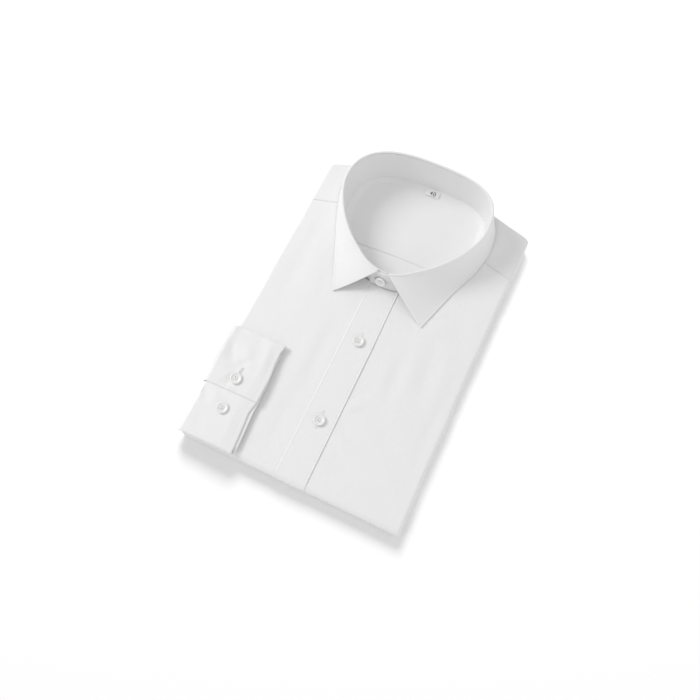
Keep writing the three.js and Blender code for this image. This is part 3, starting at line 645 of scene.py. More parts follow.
def back_seam(x):
    """The seam sags a little towards the wearer's right."""
    return -2.6 * smooth(-x, -10, 62)


FLOOR_CREASES = [
    (-40, 300, 6, 286, 9, -0.85), (10, 326, 46, 300, 10, 0.77), (-30, 340, -52, 306, 9, 0.68),
    (20, 258, 40, 280, 7, -0.68), (-20, 262, -34, 244, 7, -0.68),
]


def floor_grid(from_y, to_y, rows, seam_first):
    """A panel inside the neck; seam_first is true for the yoke, whose edge lies over the back's."""
    widen = 6  # how far it runs on past the neckline
    y_flat = lerp(from_y, to_y, spaced(rows, to_y - from_y))[None, :]
    ahead = y_flat < NECK["y"]
    depth = np.where(ahead, NECK["front"], NECK["back"]) + widen
    share = np.minimum(np.abs(y_flat - NECK["y"]) / depth, 0.985)
    left, right = (np.where(ahead, NECK["front_powers"][k], NECK["back_powers"][k]) for k in (0, 1))
    half_left, half_right = ((NECK["half"] + widen) * (1 - share ** p) ** (1 / p) for p in (left, right))
    across = spaced(90, 150, (0.8, 1.6, 2.6, 3.8, 5, 6.4, 8, 10))[:, None]
    x = NECK["x"] + lerp(-half_right, half_left, across)
    off = np.abs(y_flat - BACK_SEAM_Y)
    y = y_flat + back_seam(x) * (1 - smooth(off, 0, 30))
    seam = puckers(x, off, 1.5, 0.07, 4, seed=0.3)
    if seam_first:
        off = off + 1.0
        seam = seam + stitched(off, 2.4, 0.08, 0.15) + 0.1 * (1 - smooth(off, 2, 6))
    else:
        seam = seam - 0.45 * (1 - smooth(off, 1.2, 4))
    z = floor_z(y) + creases(x, y, FLOOR_CREASES) * smooth(off, 2, 9) + seam
    z = lerp(z, top_z(x, y) - 0.9, smooth(neck_ratio(x, y), 0.87, 1.0) ** 1.3)
    return joined(x, y, z), joined(x + CUT_AT["neck"], y)


inner_face, inner_uv = floor_grid(BACK_SEAM_Y - 0.9, NECK["y"] + NECK["back"] + 4, 46, True)
yoke_inner = cloth_shell("yoke_inner_cloth", inner_face, CLOTH, -1, inner_uv)
back_face, back_uv = floor_grid(228.5, BACK_SEAM_Y + 0.6, 24, False)
back = cloth_shell("back_cloth", back_face, CLOTH, -1, back_uv)

# %% [markdown]
# The stand is one strip of fused cloth round the neck. The end from the wearer's left passes the centre
# front outside the other one, and both ends have a rounded corner.

# %% Collar stand
STAND_END = 10 / NECK_ROUND  # length of a rounded end, as a share of the strip
UNDER_ROLL = 1.4  # the stand's top edge ends this far under the roll


def stand_edges(share, sunk):
    """The stand's foot, sunk in the fronts, and its top edge."""
    foot, top = round_at(neck_middle, share), round_at(roll_middle, share)
    foot_z, top_edge_z = top_z(foot[..., 0], foot[..., 1]) - sunk, rim_z(top[..., 1]) - ROLL - UNDER_ROLL
    return joined(foot[..., 0], foot[..., 1], foot_z), joined(top[..., 0], top[..., 1], top_edge_z)


def stand_grid():
    length = (1 + 2 * STAND_OVERLAP) * NECK_ROUND
    strip = spaced(300, length, (0.1, 0.4, 1, 2, 3.2, 4.6, 6.2, 8))
    share = lerp(-STAND_OVERLAP, 1 + STAND_OVERLAP, strip)[:, None]
    from_end = np.clip(np.minimum(share + STAND_OVERLAP, 1 + STAND_OVERLAP - share) / STAND_END, 0, 1)
    rounded = 0.3 + 0.7 * np.sqrt(1 - (1 - from_end) ** 2)
    height = rounded * spaced(14, 30, (0.12, 0.35, 0.7, 1.2, 1.8, 2.6))[None, :]
    shift = STAND / 2 + (STAND + GAP) * crossed(share)
    return lerp(*stand_edges(share, 2.4), height[..., None]) + outward(share) * shift[..., None]


stand_face = stand_grid()
collar_stand = cloth_shell("collar_stand_band", stand_face, STAND, -1)

# %% [markdown]
# The leaf is turned down over the stand along the roll line. Its section goes up the inside of the roll,
# over it, and falls to the outer edge, which lies on the chest.

# %% Collar leaf
LEAF_EDGE = [  # x, y and room under the edge, from the wearer's left point round the back to the right one
    (54, 200, 0.2), (69, 249, 0.1), (83, 288, 0.2), (87, 318, 0.4), (79, 347, 1), (50, 370, 2.6), (-3, 376, 3),
    (-56, 370, 2.6), (-85, 347, 1), (-92, 318, 0.4), (-84, 288, 0.2), (-68, 249, 0.1), (-47, 199, 0.2),
]
LEAF_START, LEAF_END = 0.013, 0.989
LEAF_STITCH = 2.6  # from the leaf's edges
LEAF_ROUND = 480.0  # length of the leaf at the roll


def centripetal(points, per_span=40):
    """Smooth curve through points, even where they are unevenly spaced."""
    p = np.asarray(points, float)
    p = np.concatenate([[2 * p[0] - p[1]], p, [2 * p[-1] - p[-2]]])
    t = np.linspace(0, 1, per_span, endpoint=False)[:, None]
    spans = []
    for a, b, c, d in zip(p[:-3], p[1:-2], p[2:-1], p[3:]):
        d0, d1, d2 = (np.sum((q - r) ** 2) ** 0.25 for q, r in ((b, a), (c, b), (d, c)))
        t1 = ((b - a) / d0 - (c - a) / (d0 + d1) + (c - b) / d1) * d1
        t2 = ((c - b) / d1 - (d - b) / (d1 + d2) + (d - c) / d2) * d1
        spans.append(b + t1 * t + (3 * (c - b) - 2 * t1 - t2) * t ** 2 + (2 * (b - c) + t1 + t2) * t ** 3)
    return np.concatenate([*spans, p[-2:-1]])


def leaf_grid():
    edge_points = [(x, y, top_z(x, min(y, 340)) + FUSED + 0.15 + lift) for x, y, lift in LEAF_EDGE]
    edge_curve = centripetal(edge_points)
    t = spaced(420, 520, (0.12, 0.4, 0.8, 1.3, 1.9, 2.6, 3.4, 4.4))
    share = lerp(LEAF_START, LEAF_END, t)
    out = outward(share)
    rim = np.concatenate([round_at(roll_middle, share), np.zeros((len(t), 1))], axis=-1)
    rim[:, 2] = rim_z(rim[:, 1])
    front_share = np.minimum(share, 1 - share)
    rim += out * ((STAND + GAP) * crossed(front_share))[:, None]

    def on_roll(degrees, drop=0.0):
        a = math.radians(degrees)
        place = rim + out * (ROLL - STAND / 2 + ROLL * math.cos(a))
        place[:, 2] += ROLL * math.sin(a) - ROLL - drop
        return place

    start = on_roll(0)
    edge = along(edge_curve, t)
    fall_shares = spaced(40, 45, start=False)[1:]
    fall = []
    for w in fall_shares:
        place = lerp(start, edge, w)
        place[:, 2] = edge[:, 2] + (start[:, 2] - edge[:, 2]) * (1 - w) ** 1.3
        fall.append(place)
    rows = [on_roll(180, 0.8), on_roll(180, 0.4)] + [on_roll(d) for d in range(180, 0, -15)] + [start] + fall
    face = np.stack(rows, axis=1)
    (from_start, from_end), (from_roll, from_outer) = reach(face, 0), reach(face, 1)
    edge = np.minimum(np.minimum(from_start, from_end), from_outer)
    relief = stitched(edge, LEAF_STITCH, 0.14, 0.22) + puckers(from_start, from_outer, LEAF_STITCH, 0.06, seed=1.1)
    face = face - normals_of(face) * (relief * smooth(from_roll, 6, 12))[..., None]
    return face, joined(LEAF_ROUND * t[:, None], from_roll)


leaf_face, leaf_uv = leaf_grid()
collar_leaf = cloth_shell("collar_leaf_cloth", leaf_face, FUSED, 1, leaf_uv)

# %% [markdown]
# The cuff is one strip that goes round the wrist and overlaps itself, pressed flat. Its section is a
# distance along the shirt and a distance off it. The same section, a little slimmer, makes the sleeve's end,
# which comes out between the packs and turns up over the side fold.

# %% Cuff and sleeve
CUFF_OVER, CUFF_UNDER = 56.0, 68.0  # y of the overlapping end, and of the end inside
CUFF_FROM_X, CUFF_FREE_X = -117.0, -61.0  # from the side fold to the free edge
CUFF_MOUTH = 2.1  # room between the layers at the free edge
CUFF_WALL, SLEEVE_WALL = 1.6, 1.1
CUFF_LAP = 1.25  # rise of the overlapping layer
CUFF_LIFT = 2.6  # the lower layer's lift at the free edge
CUFF_STITCH, OVERLAP_STITCH = 5.0, 3.0  # from the free edge, and from the overlapping end


def cuff_section(thick, gap, low, bulge):
    """Rows of y and distance off the shirt, from the overlapping edge round both folds to the inner end.

    The third list says where a row lies: 2 on top, 0 on the shirt, and 1 in between.
    """
    one = 2 * thick + gap
    two = one + CUFF_LAP + 0.3 * bulge
    half = (one + bulge) / 2
    y_top = lerp(CUFF_OVER, CUFF_HIGH - half, spaced(44, 64, stop=False))
    d_top = lerp(two, one + bulge + 0.5, smooth(y_top, 68, 84))
    d_top = lerp(d_top, one + bulge, smooth(y_top, 92, CUFF_HIGH - half))
    turn = np.linspace(0, np.pi, 13)[1:-1]
    y_far = CUFF_HIGH - half + half * np.sin(turn)
    d_far = half + half * np.cos(turn)
    y_low = np.linspace(CUFF_HIGH - half, low + one / 2, 42)
    d_low = np.zeros_like(y_low)
    y_near = low + one / 2 - one / 2 * np.sin(turn)
    d_near = one / 2 - one / 2 * np.cos(turn)
    y_end = lerp(low + one / 2, CUFF_UNDER, spaced(24, 64, start=False))
    d_end = np.full_like(y_end, one)
    y = np.concatenate([y_top, y_far, y_low, y_near, y_end])
    d = np.concatenate([d_top, d_far, d_low, d_near, d_end])
    kind = np.concatenate([np.full(len(y_top), 2), np.ones(len(y_far)), np.zeros(len(y_low)),
                           np.ones(len(y_near) + len(y_end))])
    return y, d, kind


# %% [markdown]
# Stations along the sleeve and the cuff give the section's place and tilt, and how far it is pressed flat.
# Between two stations they are interpolated, which takes the tube smoothly round the side fold. A bend
# modifier would take it round too, but it would also bend the flat part.

# %% Stations of the sleeve and the cuff
def station(x=0.0, z=0.0, tilt=90.0, angle=None, mouth=0.3, low=0.8, bulge=0.0):
    """One section's place and shape. Its place can be given as an angle round the side fold."""
    if angle is not None:
        r, a = CURL + 0.4, math.radians(angle)
        x, z, tilt = -FLAT + r * math.cos(a), PACK + CURL + r * math.sin(a), angle
    return [x, z, tilt, mouth, low, bulge]


SLEEVE_STATIONS = [
    station(-112, PACK + 4.05, 270, low=8), station(-115.6, PACK + 4.05, 270, low=8),
    station(-117.5, PACK + 4.15, 225, low=8), station(angle=176, bulge=3), station(angle=158, bulge=3.5),
    station(angle=140, bulge=3.2), station(angle=122, bulge=2.2), station(angle=119, bulge=2),
]
CUFF_STATIONS = [
    station(angle=116, bulge=1.8), station(angle=113, bulge=1.6), station(angle=101, bulge=0.8),
    station(-112, 2 * PACK + 0.4, 91, mouth=0.6), station(-102, 2 * PACK + 0.4, mouth=1.2),
    station(-88, 2 * PACK + 0.5, mouth=2), station(-74, 2 * PACK + 0.6, mouth=2.9),
    station(CUFF_FREE_X, 2 * PACK + 0.8, mouth=CUFF_MOUTH),
]


def tube_grid(stations, thick, count, mouth_edge=None, relief=None):
    stations = np.array(stations)
    place = np.interp(spaced(count, 56, stop=mouth_edge is not None, start=False),
                      np.linspace(0, 1, len(stations)), np.arange(len(stations)))
    columns = []
    for p in place:
        x, z, tilt, mouth, low, bulge = (np.interp(p, np.arange(len(stations)), stations[:, k]) for k in range(6))
        y, d, kind = cuff_section(thick, mouth, low, bulge)
        if mouth_edge is not None:
            free = np.clip((x - CUFF_FROM_X) / (CUFF_FREE_X - CUFF_FROM_X), 0, 1) ** 3
            at_x = x + mouth_edge(y, kind) * free
        else:
            at_x = np.full_like(y, x)
        if relief is not None:
            d = d + relief(at_x, y, d, kind)
        a = math.radians(tilt)
        crown = top_z(at_x, y) - top_z(at_x, 0)
        columns.append(np.stack([at_x + d * math.cos(a), y, z + crown + d * math.sin(a)], axis=-1))
    return np.array(columns)


# %% [markdown]
# The cuff's free edge isn't straight: both of its layers wave a little, and not together. Its buttons and the
# folding have left dents, placed one by one like the creases of the chest.

# %% Free edge and dents of the cuff
MOUTH_TOP = [(0.6, 1.3), (16, 0.3), (32, -1.1), (44, -2.5), (51, -1.2), (58, 0.3), (72, 0.4), (87, 0), (100, -1.9),
             (113, -2.3), (122.5, -0.5)]
MOUTH_LOW = [(0, 2.9), (8, 3.9), (23, 3), (44.5, 1.4), (76, 1.1), (92, -0.9), (117, -1.1), (122.5, -0.5)]


def mouth_edge(y, kind):
    """How far the free edge lies from CUFF_FREE_X, on each layer."""
    return np.where(kind > 0, np.interp(y, *zip(*MOUTH_TOP)), np.interp(y, *zip(*MOUTH_LOW)))


CUFF_MARKS = [  # the same six numbers as a crease of the chest
    (-99, 58, -94, 74, 5.2, -1.7), (-114, 104, -103, 84, 4.5, -1.3), (-100, 106, -84, 88, 5.0, 1.1),
    (-118, 92, -110, 78, 3.5, 0.8), (-97, 59, -90, 58, 2.6, 0.9), (-76, 116, -70, 82, 4.5, 0.8),
    (-92, 118, -82, 108, 5.0, -0.8), (-117, 52, -108, 36, 4.5, -1.3), (-104, 50, -99, 42, 3.2, 0.7),
    (-112, 24, -98, 12, 6.0, -0.5), (-82, 44, -72, 14, 6.0, 0.35), (-104, 74, -84, 96, 4.0, -0.9),
]


def cuff_relief(x, y, d, kind):
    """Stitched edges, the soft dents that the buttons pull, and the lower layer's lift at the free edge."""
    to_mouth = CUFF_FREE_X + mouth_edge(y, kind) - x
    to_over = np.where(kind > 1, y - CUFF_OVER, 99)
    edges = stitched(to_mouth, CUFF_STITCH, 0.15, 0.25) + stitched(to_over, OVERLAP_STITCH, 0.25, 0.3)
    edges += puckers(y, to_mouth, CUFF_STITCH, seed=2.2) + puckers(x, to_over, OVERLAP_STITCH, seed=0.9)
    seen = (kind > 1) | ((kind == 1) & (d > 2))
    lifted = CUFF_LIFT * (1 - smooth(to_mouth, 5, 18)) * smooth(y, 3, 9) * (1 - smooth(y, 108, 117))
    return np.where(seen, edges + creases(x, y, CUFF_MARKS), np.where(kind == 0, lifted, 0))


sleeve_face = tube_grid(SLEEVE_STATIONS, SLEEVE_WALL, 40)
sleeve = cloth_shell("sleeve_end_cloth", sleeve_face, CLOTH, -1)
cuff_face = tube_grid(CUFF_STATIONS, CUFF_WALL, 84, mouth_edge, cuff_relief)
cuff = cloth_shell("cuff_cloth", cuff_face, 1.2, -1)

# %% [markdown]
# Between the outer panels lie the folded back, the sleeves and the tails. They are a stack of separate
# sheets that turn round the bottom fold one inside the other, so their edges show as layers where the
# packs are open. Over the neck they lie lower, under the inner yoke.

# %% Layers inside the packs
LAYERS = [  # height in the middle, height beside the tucks, half width, far end above, far end beneath
    ("inner_back_layer", 0.45, 1.35, 109.5, 338.5, 335.5),
    ("inner_sleeve_layer", 1.75, 2.45, 106.0, 336.0, 338.6),
    ("inner_tail_layer", 3.15, 3.55, 110.8, 339.0, 333.0),
    ("inner_front_layer", 4.55, 4.65, 108.0, 337.0, 337.5),
]


def layer_grid(number, middle, beside, half, top_end, low_end):
    x = lerp(-half, half, spaced(44, 2 * half))[:, None]
    h = lerp(middle, beside, smooth(np.abs(x), 84, 90))
    turn = np.linspace(0, np.pi, 15)[None, 1:-1]
    end_wave = ripple(x, (83, 0.9, number), (37, 0.5, 2.0 * number))
    top_y = lerp(top_end + end_wave, PACK, spaced(60, 330, stop=False)[None, :])
    low_y = lerp(PACK, low_end - end_wave, spaced(30, 330, start=False)[None, :])
    well = 1 - smooth(neck_ratio(x, top_y), 1.13, 1.2)
    rows_top = on_pack(x, top_y, lerp(h, 0.35 + 0.22 * number, well), 0.0)
    rows_turn, rows_low = on_pack(x, PACK, h, turn), on_pack(x, low_y, h, np.pi)
    return settled(np.concatenate([rows_top, rows_turn, rows_low], axis=1))


inner_layers = [cloth_shell(name, layer_grid(number, *sizes), 0.55, 1)
                for number, (name, *sizes) in enumerate(LAYERS)]

# %% [markdown]
# Buttons: turned discs with a rounded rim and a dished middle, and four holes. They are a little pearly.

# %% Buttons
HOLE_RADIUS, HOLE_AT = 0.62, 1.5
BUTTON_PROFILE = [
    (0, 0), (4.6, 0), (5.3, 0.25), (5.8, 0.7), (6.0, 1.2), (5.95, 1.7), (5.75, 2.1), (5.4, 2.35), (5.0, 2.4),
    (4.6, 2.28), (4.2, 1.98), (3.8, 1.62), (3.3, 1.36), (2.7, 1.26), (0, 1.22),
]


def lathe(profile, around=72):
    """A closed solid of revolution from (radius, height) points that start and end on the axis."""
    angle = np.linspace(0, 2 * np.pi, around, endpoint=False)
    points, faces = [(0, 0, profile[0][1])], []
    for r, z in profile[1:-1]:
        points += [(r * math.cos(a), r * math.sin(a), z) for a in angle]
    points.append((0, 0, profile[-1][1]))
    rings = len(profile) - 2
    ring = lambda k, i: 1 + k * around + i % around
    for i in range(around):
        faces.append((0, ring(0, i + 1), ring(0, i)))
        faces.append((len(points) - 1, ring(rings - 1, i), ring(rings - 1, i + 1)))
        for k in range(rings - 1):
            faces.append((ring(k, i), ring(k, i + 1), ring(k + 1, i + 1), ring(k + 1, i)))
    return np.array(points, float), faces


def placed(points, at, lean):
    """Points leaned back about the x axis and moved."""
    c, s = math.cos(lean), math.sin(lean)
    turn = np.array([[1, 0, 0], [0, c, -s], [0, s, c]])
    return points @ turn.T + np.array(at)


def cuff_top(x, y):
    stations = np.array(CUFF_STATIONS[3:])
    z, mouth = (np.interp(x, stations[:, 0], stations[:, k]) for k in (1, 3))
    return z + top_z(x, y) - top_z(x, 0) + 2 * CUFF_WALL + mouth + (CUFF_LAP if y > CUFF_OVER else 0)


stand_low, stand_high = stand_edges(np.array(0.998), 1)
on_stand = lerp(stand_low, stand_high, 0.45)
STAND_LEAN = math.atan2(stand_high[2] - stand_low[2], stand_high[1] - stand_low[1])
stand_off = STAND / 2 + STAND + GAP
BUTTONS = {
    "button_collar": ((-4, on_stand[1] - math.sin(STAND_LEAN) * stand_off,
                       on_stand[2] + math.cos(STAND_LEAN) * stand_off), STAND_LEAN),
    "button_2": ((2, 159, top_z(2, 159) + PLACKET_RISE), 0),
    "button_3": ((2, 68, top_z(2, 68) + PLACKET_RISE), 0),
    "button_cuff_1": ((-91, 69.5, cuff_top(-91, 69.5)), 0),
    "button_cuff_2": ((-89, 37.5, cuff_top(-89, 37.5)), 0),
}
BUTTON_ABOVE = 0.5  # room under a button


def button(name, at, lean):
    points, faces = lathe(BUTTON_PROFILE)
    points[:, 2] += BUTTON_ABOVE
    disc = mesh_object(name + "_disc", placed(points, at, lean), faces)
    drills = []
    for sx, sy in ((1, 1), (1, -1), (-1, 1), (-1, -1)):
        tube, tube_faces = lathe([(0, -1), (HOLE_RADIUS, -1), (HOLE_RADIUS, 4), (0, 4)], 20)
        tube[:, :2] += np.array([sx, sy]) * HOLE_AT / math.sqrt(2)
        drill = mesh_object("drill", placed(tube, at, lean), tube_faces)
        drills.append(drill)
        cut = disc.modifiers.new("hole", "BOOLEAN")
        cut.operation, cut.object, cut.solver = "DIFFERENCE", drill, "EXACT"
    applied(disc)
    for drill in drills:
        bpy.data.objects.remove(drill)
    return disc


buttons = {name: button(name, *where) for name, where in BUTTONS.items()}
print("buttons:", {name: len(piece.data.polygons) for name, piece in buttons.items()})

# %% [markdown]
# The size label is a loop of woven tape, sewn in under the neck seam.

# %% Neck label
LABEL_LEFT, LABEL_RIGHT, LABEL_LOW, LABEL_HIGH = -6.5, 10.0, 351.5, 360.0


LABEL_ABOVE = 1.0  # over the inner yoke


def label_grid():
    u = spaced(20, LABEL_RIGHT - LABEL_LEFT)[:, None]
    v = spaced(14, LABEL_HIGH - LABEL_LOW)[None, :]
    y = lerp(LABEL_LOW, LABEL_HIGH, v) + 0.3 * np.sin(u * 3)
    z = floor_z(y) + LABEL_ABOVE + 0.35 * np.sin(np.pi * v) + 0.25 * np.sin(np.pi * u * 1.2)
    return joined(lerp(LABEL_LEFT, LABEL_RIGHT, u), y, z)


neck_label = cloth_shell("neck_label_tape", label_grid(), 0.5, -1)

# %% [markdown]
# Finishes. Shader maths is written as expressions: a `Wire` wraps an output socket, and an operator on it adds
# the Math node that the expression needs.

# %% Shader expressions
class Wire:
    def __init__(self, tree, socket):
        self.tree, self.socket = tree, socket

    def maths(self, operation, *others):
        node = self.tree.nodes.new("ShaderNodeMath")
        node.operation = operation
        for place, value in zip(node.inputs, (self, *others)):
            connect(self.tree, place, value)
        return Wire(self.tree, node.outputs[0])

    def __add__(self, other):
        return self.maths("ADD", other)

    def __sub__(self, other):
        return self.maths("SUBTRACT", other)

    def __rsub__(self, other):
        return constant(self.tree, other).maths("SUBTRACT", self)

    def __mul__(self, other):
        return self.maths("MULTIPLY", other)

    __radd__, __rmul__ = __add__, __mul__


def constant(tree, value):
    node = tree.nodes.new("ShaderNodeValue")
    node.outputs[0].default_value = value
    return Wire(tree, node.outputs[0])


def connect(tree, place, value):
    if isinstance(value, Wire):
        tree.links.new(value.socket, place)
    else:
        place.default_value = value


def add_node(tree, kind, settings=None, output=0, **values):
    """Any node by its type, its settings, and its inputs by name, or by number as i0, i1 and so on."""
    node = tree.nodes.new(kind)
    for name, value in (settings or {}).items():
        setattr(node, name, value)
    for name, value in values.items():
        numbered = name[0] == "i" and name[1:].isdigit()
        connect(tree, node.inputs[int(name[1:]) if numbered else name.replace("_", " ")], value)
    return Wire(tree, node.outputs[output])


def mixed(tree, share, low, high):
    """A colour between two tones."""
    return add_node(tree, "ShaderNodeMix", {"data_type": "RGBA"}, output=2, i0=share, i6=(*low, 1), i7=(*high, 1))


def finish(name, build):
    """A material whose one Principled shader has the inputs that build gives for its node tree."""
    material = bpy.data.materials.new(name)
    material.use_nodes = True
    tree = material.node_tree
    tree.nodes.clear()
    shader = add_node(tree, "ShaderNodeBsdfPrincipled", **build(tree))
    connect(tree, tree.nodes.new("ShaderNodeOutputMaterial").inputs["Surface"], shader)
    return material


# %% [markdown]
# Poplin is a plain weave with fine threads. Its colour hardly varies, so it is the bump that carries the
# weave: a chequer of crossing threads, slubs along both directions, and a soft unevenness.

# %% Cotton
def cloth_material(name, colour, shade, thread=0.32, weave=0.035, uneven=0.085, rumple=0.3, roughness=0.8):
    def build(tree):
        uv = add_node(tree, "ShaderNodeUVMap", {"uv_map": "cloth"})
        split = tree.nodes.new("ShaderNodeSeparateXYZ")
        connect(tree, split.inputs[0], uv)
        u, v = Wire(tree, split.outputs[0]), Wire(tree, split.outputs[1])
        turn = math.pi / (thread * MM)
        threads = (u * turn).maths("SINE") * (v * turn).maths("SINE")

        def thread_noise(across, down, detail=2.0):
            place = add_node(tree, "ShaderNodeCombineXYZ", X=u * (1 / (across * MM)), Y=v * (1 / (down * MM)))
            return add_node(tree, "ShaderNodeTexNoise", Vector=place, Scale=1.0, Detail=detail, Roughness=0.55)

        slubs = thread_noise(0.7, 9.0) + thread_noise(9.0, 0.7)
        soft = thread_noise(3.1, 3.6, 3.0)
        broad = thread_noise(7.0, 9.5)
        height = threads * weave + slubs * (uneven * 0.6) + soft * uneven + broad * rumple
        return dict(
            Base_Color=mixed(tree, slubs * 0.25 + soft * 0.5, shade, colour),
            Roughness=soft * 0.1 + (roughness - 0.05),
            Normal=add_node(tree, "ShaderNodeBump", Height=height * MM, Distance=1.0, Strength=1.0),
            Specular_IOR_Level=0.3, Sheen_Weight=0.12, Sheen_Roughness=0.5,
        )

    return finish(name, build)


poplin = cloth_material("white_poplin", (0.91, 0.91, 0.91), (0.875, 0.875, 0.877))
fused_poplin = cloth_material("fused_poplin", (0.89, 0.89, 0.89), (0.86, 0.86, 0.862), weave=0.03, uneven=0.05,
                              rumple=0.2)
tape = cloth_material("woven_tape", (0.92, 0.92, 0.92), (0.88, 0.88, 0.88), thread=0.5, weave=0.06, uneven=0.02,
                      rumple=0.0, roughness=0.6)
print("cloth finishes:", [material.name for material in (poplin, fused_poplin, tape)])

# %% [markdown]
# Shirt buttons are cast resin with pearly clouds in it, and thread is twisted from fine plies. Both could be
# plain colours, but a soft change of tone and gloss is what tells them from the cloth round them.

# %% Button resin and thread
def resin(tree):
    """Pearly clouds."""
    place = add_node(tree, "ShaderNodeTexCoord", output=3)
    cloud = add_node(tree, "ShaderNodeTexNoise", Vector=place, Scale=260.0, Detail=4.0, Roughness=0.6, Distortion=0.9)
    return dict(Base_Color=mixed(tree, cloud, (0.80, 0.80, 0.79), (0.93, 0.93, 0.925)),
                Roughness=cloud * 0.16 + 0.14, IOR=1.54)


def thread_material(name, colour, shade):
    """Twisted thread: fine plies across each stitch."""
    def build(tree):
        place = add_node(tree, "ShaderNodeTexCoord", output=3)
        plies = add_node(tree, "ShaderNodeTexNoise", Vector=place, Scale=4200.0, Detail=2.0, Roughness=0.5)
        bump = add_node(tree, "ShaderNodeBump", Height=plies * (0.06 * MM), Distance=1.0, Strength=1.0)
        return dict(Base_Color=mixed(tree, plies, shade, colour), Roughness=plies * 0.2 + 0.4, Normal=bump,
                    Sheen_Weight=0.1)

    return finish(name, build)


def paint(pieces, material):
    for piece in pieces:
        piece.data.materials.clear()
        piece.data.materials.append(material)


pearl = finish("pearl_resin", resin)
white_thread = thread_material("white_thread", (0.93, 0.93, 0.93), (0.86, 0.86, 0.86))
grey_thread = thread_material("grey_thread", (0.07, 0.07, 0.075), (0.03, 0.03, 0.03))

paint([front_right, front_left, placket, yoke, yoke_inner, back, sleeve, *inner_layers], poplin)
paint([collar_stand, collar_leaf, cuff], fused_poplin)
paint([neck_label], tape)
paint(buttons.values(), pearl)

# %% [markdown]
# Stitches repeat along every seam, so Geometry Nodes make them. The input is a mesh of short edges, one for
# each stitch that shows. The tree puts a small spindle of thread on the middle of each edge and turns it along
# the edge. Its sizes are inputs, so buttonholes, buttons and the label's figures use the same tree.

# %% Stitch tree
def stitch_tree():
    tree = bpy.data.node_groups.new("stitches", "GeometryNodeTree")
    for name, kind in (("Edges", "Geometry"), ("Thread radius", "Float"), ("Shortest share", "Float"),
                       ("Seed", "Int"), ("Thread material", "Material")):
        tree.interface.new_socket(name=name, in_out="INPUT", socket_type="NodeSocket" + kind)
    tree.interface.new_socket(name="Stitches", in_out="OUTPUT", socket_type="NodeSocketGeometry")
    group = tree.nodes.new("NodeGroupInput")
    edges, radius, shortest, seed, material = (Wire(tree, socket) for socket in group.outputs[:5])

    ends = tree.nodes.new("GeometryNodeInputMeshEdgeVertices")
    first, second = Wire(tree, ends.outputs["Position 1"]), Wire(tree, ends.outputs["Position 2"])
    way = add_node(tree, "ShaderNodeVectorMath", {"operation": "SUBTRACT"}, i0=second, i1=first)
    marked = add_node(tree, "GeometryNodeStoreNamedAttribute", {"data_type": "FLOAT_VECTOR", "domain": "EDGE"},
                      Geometry=edges, Name="way", Value=way)
    points = add_node(tree, "GeometryNodeMeshToPoints", {"mode": "EDGES"}, Mesh=marked)
    kept_way = add_node(tree, "GeometryNodeInputNamedAttribute", {"data_type": "FLOAT_VECTOR"}, Name="way")
    turned = add_node(tree, "FunctionNodeAlignRotationToVector", {"axis": "Z"}, Vector=kept_way)
    length = add_node(tree, "ShaderNodeVectorMath", {"operation": "LENGTH"}, output=1, i0=kept_way)
    share = add_node(tree, "FunctionNodeRandomValue", {"data_type": "FLOAT"}, output=1, i2=shortest, i3=1.0,
                     Seed=seed)
    size = add_node(tree, "ShaderNodeCombineXYZ", X=radius, Y=radius, Z=length * share * 0.5)
    spindle = add_node(tree, "GeometryNodeMeshUVSphere", Segments=6, Rings=4, Radius=1.0)
    placed_threads = add_node(tree, "GeometryNodeInstanceOnPoints", Points=points, Instance=spindle,
                              Rotation=turned, Scale=size)
    real = add_node(tree, "GeometryNodeRealizeInstances", Geometry=placed_threads)
    soft = add_node(tree, "GeometryNodeSetShadeSmooth", Geometry=real)
    made = add_node(tree, "GeometryNodeSetMaterial", Geometry=soft, Material=material)
    end = tree.nodes.new("NodeGroupOutput")
    connect(tree, end.inputs[0], made)
    return tree


STITCH_TREE = stitch_tree()
print("stitch tree:", len(STITCH_TREE.nodes), "nodes")


def sewn(name, stitches, radius, material, seed, shortest=0.85):
    """One mesh of thread from pairs of end points in millimetres."""
    ends = np.array(stitches).reshape(-1, 3)
    pairs = np.arange(len(ends)).reshape(-1, 2).tolist()
    piece = mesh_object(name, ends, [], edges=pairs)
    modifier = piece.modifiers.new("stitches", "NODES")
    modifier.node_group = STITCH_TREE
    inputs = {"Thread radius": radius * MM, "Shortest share": shortest, "Seed": seed, "Thread material": material}
    for item in STITCH_TREE.interface.items_tree:
        if item.name in inputs:
            modifier[item.identifier] = inputs[item.name]
    faces = applied(piece).data.polygons
    print(f"{name}: {len(pairs)} stitches, {sum(len(face.vertices) - 2 for face in faces)} triangles")
    return piece


# %% [markdown]
# A row of stitches keeps its distance from an edge. `inset_line` walks that distance in from a side of a
# panel's grid, so the row follows the cloth wherever it bends.

# %% Rows of stitches
THREAD = 0.16  # radius
WIDE = dict(pitch=2.6, length=1.9)
FINE = dict(pitch=2.2, length=1.6)


def inset_line(face, axis, distance, inward, far=False):
    """Points at a distance from one side of a grid, and the way out of the cloth there."""
    outward_way = -normals_of(face) * inward
    if far:
        face, outward_way = np.flip(face, axis), np.flip(outward_way, axis)
    face, outward_way = np.moveaxis(face, axis, 0), np.moveaxis(outward_way, axis, 0)
    run = reach(face, 0)[0]
    pick = lambda values: np.array([[np.interp(distance, run[:, j], values[:, j, k]) for k in range(3)]
                                    for j in range(face.shape[1])])
    return pick(face), pick(outward_way)


def row_of(line, way, pitch, length, start=0.0, stop=None, lift=0.04):
    """Stitches along a line from start to stop, in millimetres from its first point."""
    total = np.linalg.norm(np.diff(line, axis=0), axis=1).sum()
    begin = np.arange(start, (total if stop is None else stop) - length, pitch)
    raised = line + way * lift
    return np.stack([along(raised, begin / total), along(raised, (begin + length) / total)], axis=1)


